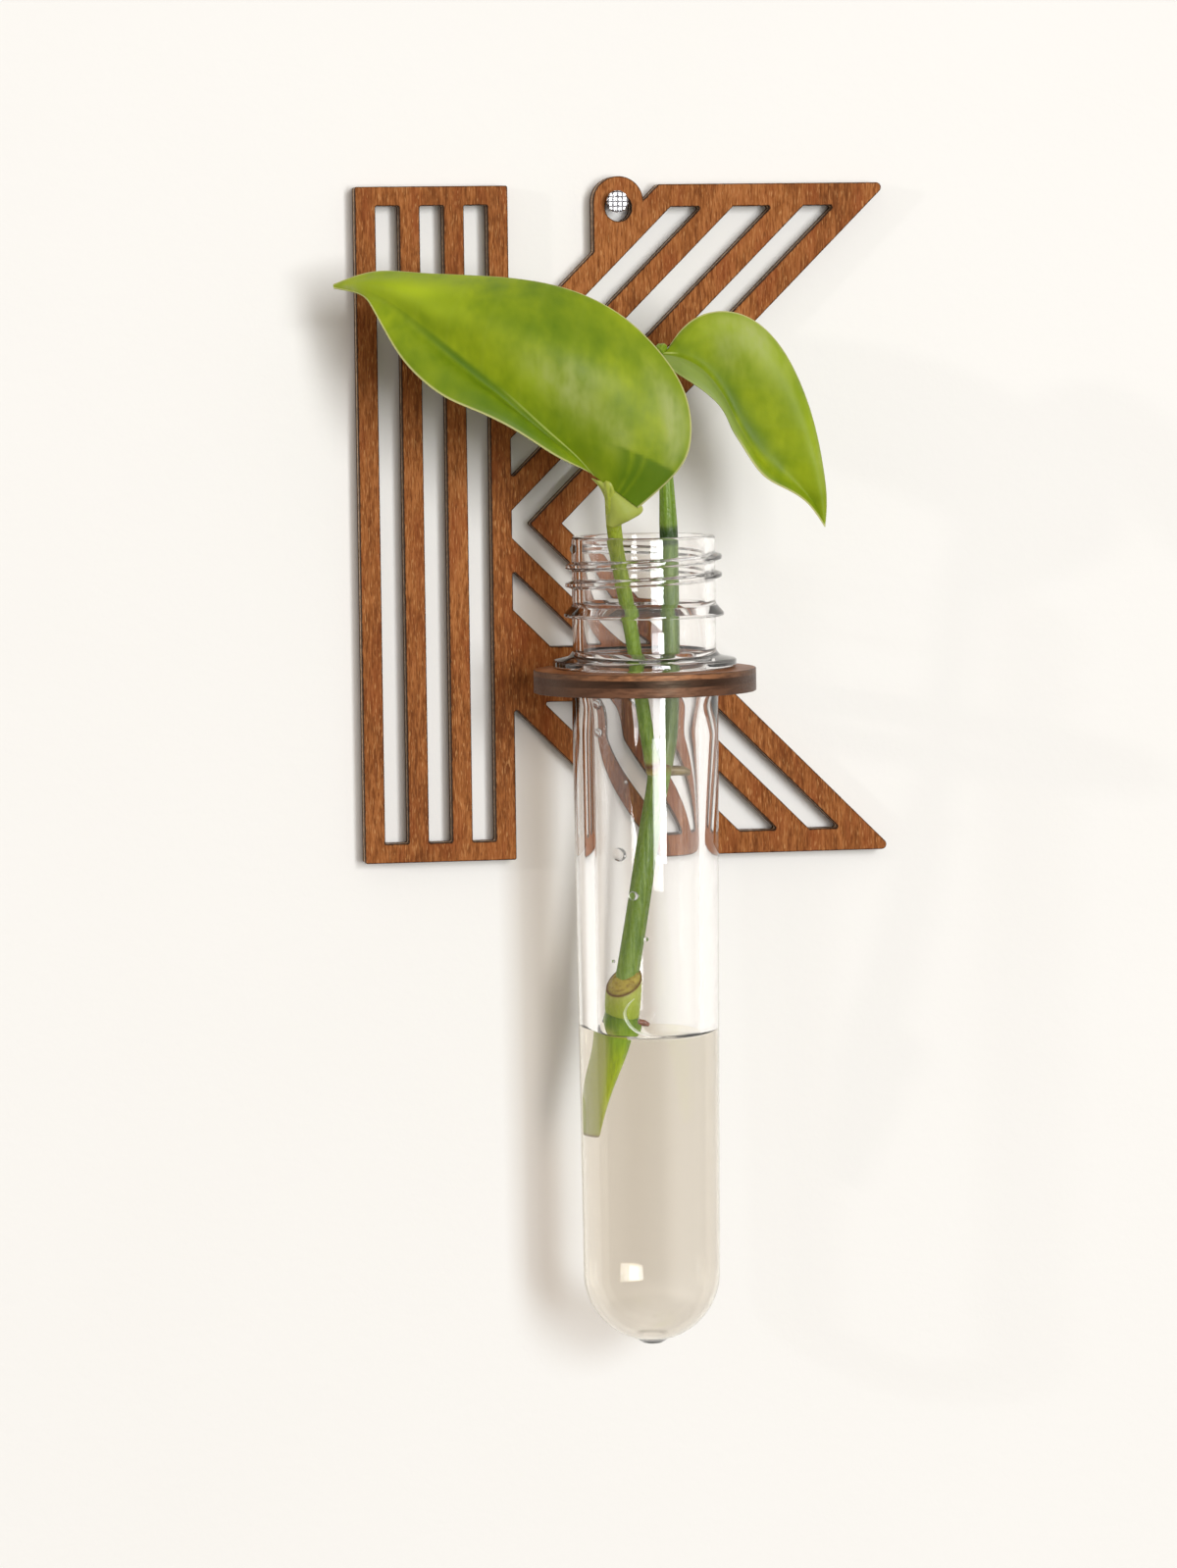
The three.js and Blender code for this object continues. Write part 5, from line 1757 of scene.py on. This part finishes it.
@dataclass
class Cutting:
    """The cutting: its stem, two leaf stalks, two leaves, the root nubs, the collar and its water.

    A leaf's rails run side by side from its base to its tip, from one margin to the other.
    """

    stem_route: tuple[Point, ...] = (
        (-7.95, 1.3, -105.8), (-6.8, 1.1, -97.0), (-4.95, 0.8, -89.0), (-4.4, 0.9, -82.0),
        (-3.45, 0.8, -75.9), (-1.4, 0.0, -63.4), (0.4, -0.5, -51.9), (2.0, -0.6, -43.4), (2.5, -0.6, -40.0),
    )
    petiole_route: tuple[Point, ...] = (
        (1.3, -1.1, -41.4), (0.4, -2.1, -38.0), (-1.2, -3.2, -29.4), (-2.7, -4.4, -19.1), (-4.2, -5.6, -10.4),
        (-6.1, -6.9, -0.2), (-6.9, -9.4, 4.0), (-7.7, -11.2, 8.4), (-8.2, -11.2, 10.0),
    )
    shoot_route: tuple[Point, ...] = (
        (3.0, -0.4, -41.6), (3.5, -0.4, -38.5), (4.4, -0.6, -32.4), (4.5, -1.2, -22.4), (4.3, -2.0, -9.4),
        (4.0, -2.8, 0.6), (3.6, -3.6, 9.6), (2.8, -4.8, 21.6), (1.6, -7.2, 31.2), (2.6, -9.0, 32.6),
    )
    upper_nub: tuple[Point, ...] = ((3.2, -0.6, -41.4), (6.0, -0.8, -41.3), (7.9, -0.9, -41.7))
    lower_nub: tuple[Point, ...] = ((-3.0, 0.0, -85.5), (-1.0, -0.1, -85.8), (0.0, -0.3, -86.2))
    large_rails: tuple[tuple[Point, ...], ...] = (
        (
            (-11.5, -11.2, 11.7), (-17.7, -13.8, 14.6), (-24.1, -14.4, 18.7), (-30.5, -13.7, 22.1),
            (-36.1, -12.3, 24.7), (-40.4, -10.3, 28.1), (-43.4, -7.9, 31.8), (-45.6, -5.3, 36.0),
            (-47.5, -2.3, 40.3), (-49.2, 0.5, 42.7), (-53.3, 4.2, 43.8),
        ),
        (
            (-11.1, -11.1, 11.5), (-16.3, -12.5, 15.5), (-22.3, -12.8, 20.4), (-28.0, -12.1, 24.6),
            (-33.3, -10.7, 28.3), (-37.8, -8.7, 31.9), (-41.4, -6.5, 35.2), (-44.5, -4.0, 38.6),
            (-47.2, -1.4, 41.4), (-49.6, 1.3, 43.2), (-53.3, 4.4, 44.0),
        ),
        (
            (-10.4, -11.0, 11.1), (-14.0, -11.8, 14.9), (-19.0, -12.0, 19.3), (-24.7, -11.1, 24.7),
            (-30.3, -9.6, 29.6), (-35.4, -7.7, 34.0), (-39.9, -5.6, 37.8), (-43.9, -3.5, 41.0),
            (-47.3, -1.2, 43.1), (-50.2, 1.5, 44.1), (-53.3, 4.5, 44.2),
        ),
        (
            (-7.0, -11.9, 8.5), (-6.5, -14.4, 13.6), (-9.0, -15.7, 20.9), (-14.0, -15.8, 27.7),
            (-20.0, -14.5, 33.0), (-26.5, -12.1, 37.4), (-33.0, -9.2, 40.7), (-39.1, -6.0, 43.1),
            (-44.6, -2.6, 44.8), (-49.0, 0.9, 45.0), (-53.3, 4.6, 44.3),
        ),
        (
            (-3.0, -12.6, 5.3), (3.3, -15.0, 11.4), (5.8, -15.3, 16.9), (5.3, -14.7, 24.1),
            (1.5, -12.9, 31.5), (-5.8, -10.3, 38.9), (-16.0, -7.3, 43.7), (-27.5, -4.2, 45.5),
            (-38.5, -1.2, 46.2), (-46.4, 1.5, 46.6), (-53.3, 4.7, 44.5),
        ),
    )
    small_rails: tuple[tuple[Point, ...], ...] = (
        (
            (3.4, -8.2, 32.8), (6.1, -8.4, 36.3), (10.3, -9.0, 38.7), (16.2, -9.9, 38.3),
            (21.6, -10.9, 34.1), (25.5, -11.5, 27.4), (28.1, -11.7, 20.0), (29.6, -11.8, 12.8),
            (30.3, -12.0, 6.5), (29.9, -12.3, 1.4),
        ),
        (
            (3.0, -8.4, 32.2), (6.0, -9.5, 34.0), (10.4, -10.9, 34.9), (15.2, -12.2, 33.7),
            (19.8, -13.1, 29.1), (23.8, -13.5, 23.0), (26.7, -13.3, 16.0), (28.5, -12.9, 9.6),
            (29.4, -12.5, 5.0), (29.9, -12.4, 1.4),
        ),
        (
            (2.4, -8.8, 31.7), (5.4, -9.6, 31.6), (9.2, -10.4, 30.0), (12.6, -11.0, 26.6),
            (15.4, -11.5, 21.8), (18.7, -11.7, 16.8), (21.9, -11.7, 13.0), (25.2, -11.6, 9.3),
            (28.1, -11.8, 5.4), (29.9, -12.5, 1.4),
        ),
        (
            (1.8, -9.6, 31.2), (4.6, -11.2, 30.2), (7.6, -12.3, 28.6), (11.2, -12.8, 24.8),
            (13.6, -12.9, 20.4), (16.4, -12.9, 15.4), (19.8, -12.8, 11.2), (23.8, -12.6, 8.2),
            (27.3, -12.5, 5.4), (29.9, -12.6, 1.4),
        ),
        (
            (1.3, -10.7, 30.9), (4.0, -12.5, 28.4), (6.9, -13.6, 26.4), (11.2, -13.9, 22.7),
            (13.3, -13.7, 18.8), (15.4, -13.5, 15.3), (18.9, -13.3, 10.5), (23.4, -12.9, 7.9),
            (26.9, -12.7, 5.4), (29.8, -12.6, 1.4),
        ),
    )
    wing_rails: tuple[tuple[Point, ...], ...] = (
        (
            (-8.1, -9.3, 2.4), (-8.2, -9.9, 4.2), (-8.3, -10.4, 6.2), (-9.3, -10.6, 8.7),
            (-10.9, -10.7, 10.5),
        ),
        (
            (-7.5, -10.2, 2.2), (-6.9, -11.2, 3.3), (-6.7, -11.9, 4.9), (-7.6, -11.8, 7.7),
            (-9.6, -11.1, 10.0),
        ),
        (
            (-6.8, -10.2, 2.2), (-5.3, -11.5, 3.1), (-4.7, -12.2, 4.1), (-5.0, -12.1, 6.3),
            (-7.6, -11.2, 9.0),
        ),
        (
            (-5.8, -9.4, 2.4), (-3.8, -11.0, 3.5), (-2.6, -11.6, 4.2), (-2.3, -11.7, 5.6),
            (-5.3, -11.0, 8.0),
        ),
    )

    def stems(self) -> list[StemRun]:
        """Sets up the stem from its cut end in the water to the upper node, the stalks and the nubs.

        Returns:
            The runs, each with its own colours.
        """
        main = (
            (0.0, (0.4, 0.42, 0.08)), (0.08, (0.42, 0.5, 0.006)), (0.2, (0.37, 0.48, 0.004)),
            (0.26, (0.21, 0.34, 0.003)), (0.33, (0.125, 0.24, 0.005)), (0.42, (0.15, 0.24, 0.03)),
            (0.55, (0.12, 0.2, 0.015)), (0.9, (0.11, 0.185, 0.015)), (1.0, (0.17, 0.25, 0.03)),
        )
        fresh = (
            (0.0, (0.27, 0.31, 0.09)), (0.1, (0.13, 0.21, 0.02)), (0.45, (0.15, 0.25, 0.015)),
            (0.7, (0.22, 0.3, 0.02)), (0.85, (0.3, 0.36, 0.03)), (1.0, (0.36, 0.4, 0.06)),
        )
        shoot = (
            (0.0, (0.16, 0.2, 0.05)), (0.1, (0.085, 0.14, 0.022)), (0.5, (0.12, 0.2, 0.03)),
            (0.65, (0.18, 0.29, 0.03)), (1.0, (0.21, 0.31, 0.02)),
        )
        bark = ((0.0, (0.2, 0.12, 0.04)), (1.0, (0.26, 0.17, 0.07)))
        husk = GreenStem("root_bark", bark, scar=(0.25, 0.18, 0.055), scorched=(0.1, 0.055, 0.02))
        red_husk = GreenStem("lower_root_bark", bark, scar=(0.3, 0.13, 0.08), scorched=(0.12, 0.045, 0.03))
        nub = {
            "slot": "root", "scars": ((0.0, 1.0),), "ridge": 0.05, "ridges": 5, "aside": (0.0, 0.0, 1.0),
        }
        return [
            StemRun(
                "main_stem", "cutting_stem", self.stem_route,
                (
                    (0.0, 1.2), (0.07, 1.65), (0.14, 2.05), (0.22, 2.3), (0.29, 2.6), (0.33, 2.85),
                    (0.345, 2.6), (0.365, 2.05), (0.5, 2.0), (0.75, 1.9), (0.92, 1.85), (1.0, 2.1),
                ),
                GreenStem("stem_green", main), scars=((0.0, 0.5), (0.01, 0.0), (0.97, 0.0), (1.0, 0.5)),
                bleach_end=0.3, sunk_end=0.34, rows=190,
            ),
            StemRun(
                "petiole_of_large_leaf", "petiole_large", self.petiole_route,
                ((0.0, 1.5), (0.1, 1.2), (0.75, 1.25), (0.88, 1.35), (1.0, 1.0)),
                GreenStem("petiole_green", fresh), scars=((0.0, 0.9), (0.03, 0.6), (0.05, 0.0)),
            ),
            StemRun(
                "shoot_of_small_leaf", "shoot_small", self.shoot_route,
                ((0.0, 1.6), (0.15, 1.5), (0.5, 1.5), (0.56, 1.62), (0.7, 1.15), (0.9, 1.0), (1.0, 0.9)),
                GreenStem("shoot_green", shoot),
                soaked=((0.525, 0.0), (0.53, 1.0), (0.565, 1.0), (0.572, 0.0)),
            ),
            StemRun(
                "upper_root_nub", "root_nub_upper", self.upper_nub, ((0.0, 0.95), (0.7, 0.85), (1.0, 0.5)),
                husk, rows=24, columns=24, **nub,
            ),
            StemRun(
                "lower_root_nub", "root_nub_lower", self.lower_nub, ((0.0, 0.65), (0.7, 0.55), (1.0, 0.3)),
                red_husk, rows=20, columns=20, **nub,
            ),
        ]

    def leaves(self) -> list[LeafBlade]:
        """Sets up the two blades and the wing of the large leaf's stalk.

        Returns:
            The blades, each with its own colours.
        """
        large = LeafBlade(
            "large_leaf", "leaf_large", self.large_rails, WaxyLeaf("large_leaf_green"),
            # Painted shadow near the base of the blade.
            painted_shadow=(0.14, 0.745, 0.16),
            # Painted shade, and painted light where the amount is below 0; then patches of painted sheen.
            shades=(
                Patch(0.44, 0.46, 0.15, 0.045, 0.4), Patch(0.2, 0.4, 0.2, 0.12, 0.25),
                Patch(0.53, 0.92, 0.12, 0.09, 0.4), Patch(0.1, 0.62, 0.08, 0.12, 0.45),
                Patch(0.25, 0.08, 0.28, 0.14, 0.55), Patch(0.24, 0.78, 0.06, 0.07, 0.25),
                Patch(0.42, 0.88, 0.08, 0.1, 0.3), Patch(0.5, 0.78, 0.06, 0.07, 0.4),
                Patch(0.8, 0.5, 0.1, 0.6, -0.55), Patch(0.92, 0.35, 0.06, 0.25, -0.45),
                Patch(0.7, 0.72, 0.07, 0.14, -0.7), Patch(0.6, 0.65, 0.05, 0.07, -0.55),
                Patch(0.32, 0.65, 0.06, 0.07, -0.55), Patch(0.68, 0.42, 0.06, 0.12, -0.25),
            ),
            painted_sheens=(
                Patch(0.28, 0.7, 0.09, 0.06, 0.65), Patch(0.17, 0.77, 0.06, 0.05, 0.4),
                Patch(0.23, 0.955, 0.1, 0.03, 1.0), Patch(0.32, 0.78, 0.05, 0.06, 0.4),
                Patch(0.92, 0.42, 0.05, 0.18, 0.7),
            ),
            painted_fold_shade=Patch(0.45, 0.4, 0.35, 0.3, 0.5),
        )
        small = LeafBlade(
            "small_leaf", "leaf_small", self.small_rails,
            WaxyLeaf("small_leaf_green", veins=7.0, midrib_end=0.1),
            # Painted shade, and painted light where the amount is below 0; then patches of painted sheen.
            shades=(
                Patch(0.33, 0.5, 0.16, 0.09, 0.45), Patch(0.52, 0.53, 0.14, 0.08, 0.6),
                Patch(0.15, 0.88, 0.06, 0.1, 0.6), Patch(0.3, 0.8, 0.1, 0.15, 0.25),
                Patch(0.75, 0.85, 0.08, 0.1, 0.4), Patch(0.35, 0.15, 0.18, 0.14, -0.55),
                Patch(0.68, 0.15, 0.14, 0.12, -0.45), Patch(0.75, 0.35, 0.1, 0.08, -0.25),
            ),
            painted_sheens=(
                Patch(0.36, 0.15, 0.13, 0.12, 0.8), Patch(0.75, 0.13, 0.08, 0.08, 0.45),
                Patch(0.3, 0.33, 0.07, 0.08, 0.5),
            ),
            rolled=(0.6, 0.62), along=140, across=72,
        )
        wing_finish = WaxyLeaf(
            "stalk_wing_green", (0.4, 0.44, 0.09), (0.35, 0.4, 0.07), (0.28, 0.34, 0.055),
            rim=(0.45, 0.45, 0.16), under=(0.3, 0.34, 0.1), midrib_end=0.001,
        )
        wing = LeafBlade(
            "stalk_wing", "", self.wing_rails, wing_finish, groove=0.0, quilt=0.0, along=48, across=40
        )
        return [large, small, wing]

    def build(self, seat: Point) -> list[bpy.types.Object]:
        """Makes every piece of the cutting."""
        return [part.build(seat) for part in [*self.stems(), CutSheath(), ClingingFilm(), *self.leaves()]]


# Room


def direction(azimuth: float, elevation: float) -> np.ndarray:
    """(sin a cos e, -cos a cos e, sin e) of an azimuth and an elevation in degrees."""
    a, e = math.radians(azimuth), math.radians(elevation)
    return np.array([math.sin(a) * math.cos(e), -math.cos(a) * math.cos(e), math.sin(e)])


@dataclass
class Viewpoint:
    """The photographer's camera: where it stands from the hanging hole, and how it is held."""

    stand: Point = (-174.91, -994.42, -18.17)
    azimuth: float = -9.6376
    elevation: float = 4.8069
    roll: float = -0.7388
    lens: float = 129.21
    sensor: float = 36.0
    nearest: float = 10.0 * MM

    def build(self, hole: Point) -> bpy.types.Object:
        """Makes the camera from its back, right and up directions.

        Args:
            hole: Centre of the letter's hanging hole.

        Returns:
            The camera.
        """
        a, r = math.radians(self.azimuth), math.radians(self.roll)
        back = direction(self.azimuth, self.elevation)
        right = np.array([math.cos(a), math.sin(a), 0.0])
        up = np.cross(back, right)
        level = math.cos(r) * right + math.sin(r) * up
        upright = math.cos(r) * up - math.sin(r) * right
        data = bpy.data.cameras.new("photographer")
        data.lens, data.sensor_width, data.clip_start = self.lens, self.sensor, self.nearest
        camera = bpy.data.objects.new("photographer", data)
        place = (np.array(self.stand) + np.array(hole)) * MM
        turn = Matrix(np.stack([level, upright, back], axis=1).tolist()).to_4x4()
        camera.matrix_world = Matrix.Translation(place.tolist()) @ turn
        bpy.context.scene.collection.objects.link(camera)
        bpy.context.scene.camera = camera
        return camera


@dataclass
class Lamp:
    """A rectangular soft lamp that faces a point of the object."""

    name: str
    azimuth: float
    elevation: float
    distance: float
    width: float
    height: float
    radiance: float
    colour: Colour

    def build(self, target: Vector) -> bpy.types.Object:
        """Makes the lamp; its power is pi times its radiance and area.

        Args:
            target: The point that it faces.

        Returns:
            The lamp.
        """
        data = bpy.data.lights.new(self.name, "AREA")
        data.shape, data.size, data.size_y = "RECTANGLE", self.width, self.height
        data.energy = math.pi * self.radiance * self.width * self.height
        data.color = self.colour
        lamp = bpy.data.objects.new(self.name, data)
        back = Vector(direction(self.azimuth, self.elevation))
        lamp.location = target + back * self.distance
        lamp.rotation_mode = "QUATERNION"
        lamp.rotation_quaternion = (-back).to_track_quat("-Z", "Y")
        bpy.context.scene.collection.objects.link(lamp)
        return lamp


@dataclass
class Room:
    """The wall, the lamps and the surrounding light, in metres."""

    wall_gap: float = 0.0001
    wall_half: float = 0.9
    tone: Colour = (1.0, 0.89, 0.77)
    above: float = 0.52
    below: float = 0.18
    behind: float = 0.45
    front: float = 0.14
    returned: float = 0.3
    left: float = 0.2
    right: float = 0.95
    ceiling: float = 0.8
    floor: float = 0.75
    clear_tone: Colour = (0.97, 0.96, 0.94)
    lamps: tuple[Lamp, ...] = (
        Lamp("window_lamp", 17.2, 6.9, 3.0, 0.45, 1.46, 24.9, (0.955, 0.985, 1.0)),
        Lamp("curtain_lamp", 7.4, 6.9, 3.0, 0.57, 1.46, 8.0, (0.97, 0.985, 1.0)),
        Lamp("side_lamp", -65.0, 12.5, 1.5, 0.055, 0.055, 220.0, (1.0, 0.975, 0.95)),
    )

    def wall(self, centre: Vector) -> bpy.types.Object:
        """Makes the wall: one upright sheet behind the letter, facing the room.

        Args:
            centre: The point that its middle lies behind.

        Returns:
            The wall, on the stage.
        """
        corners = np.array([[-1.0, -1.0], [1.0, -1.0], [1.0, 1.0], [-1.0, 1.0]]) * self.wall_half / MM
        x, z = corners[:, 0] + centre.x / MM, corners[:, 1] + centre.z / MM
        points = np.stack([x, np.full(4, self.wall_gap / MM), z], axis=1)
        made = Surface(points, np.array([[0, 1, 2, 3]])).build("room_wall", PaleWall().material())
        made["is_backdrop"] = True
        return made

    def world(self) -> None:
        """Warm even light, more of it from above and behind.

        Clear pieces reflect a dim room in front of them and on the left, and a bright one on the right;
        what they turn back through themselves is brighter.
        """
        world = bpy.data.worlds.new("room_light")
        bpy.context.scene.world = world
        s = Shading("room_light", world)
        x, y, z = s.node("SeparateXYZ", Vector=s.node("TexCoord").outputs["Generated"]).outputs
        height = s.rescaled(z, -0.4, 0.6, self.below, self.above)
        strength = s.maths("MAXIMUM", height, s.rescaled(y, -0.1, 0.3, 0.0, self.behind))
        clear = s.rescaled(x, 0.12, 0.6, self.front, self.right)
        for axis, start, end, low, high in (
            (x, -0.12, -0.6, self.front, self.left),
            (z, 0.3, 0.8, 0.0, self.ceiling),
            (z, -0.5, -0.9, 0.0, self.floor),
        ):
            clear = s.maths("MAXIMUM", clear, s.rescaled(axis, start, end, low, high))
        path = s.node("LightPath")
        through = path.outputs["Is Transmission Ray"]
        clear = s.maths("MAXIMUM", clear, s.maths("MULTIPLY", through, self.returned))
        lit = s.node("Background", Color=self.tone, Strength=strength)
        sharp = s.node("Background", Color=self.clear_tone, Strength=clear)
        glass = s.maths("ADD", through, path.outputs["Is Singular Ray"], True)
        s.finish(s.mixed(glass, lit.outputs[0], sharp.outputs[0]), "World")

    def build(self, centre: Vector) -> None:
        """Makes the wall, the lamps and the world.

        Args:
            centre: Middle of the object, which the lamps face.
        """
        self.wall(centre)
        for lamp in self.lamps:
            lamp.build(centre)
        self.world()
        bpy.context.scene.view_settings.view_transform = "Standard"


def main() -> None:
    """Builds the scene piece by piece round the frame."""
    logging.basicConfig(level=logging.INFO, format="%(message)s")
    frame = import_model()
    cad_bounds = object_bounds()
    hanging = Hanging()
    hole, seat = hanging.hole(), hanging.tube()
    LOG.info("hole at %s, tube at %s", hole, seat)

    frame["nodes"]["wall_nail"].data.materials.clear()
    frame["nodes"]["wall_nail"].data.materials.append(BrightSteel().material())
    tube = PreformTube()
    made = [LetterPanel().build(hole), RingShelf().build(seat), tube.build(seat)]
    made += [WaterFill().build(tube, seat), Droplets().build(tube, seat)]
    made += Cutting().build(seat)
    for piece in made:
        LOG.info("%s: %d faces", piece.name, len(piece.data.polygons))

    Viewpoint().build(hole)
    Room().build((cad_bounds[0] + cad_bounds[1]) / 2)
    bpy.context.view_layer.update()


if __name__ == "__main__":
    main()
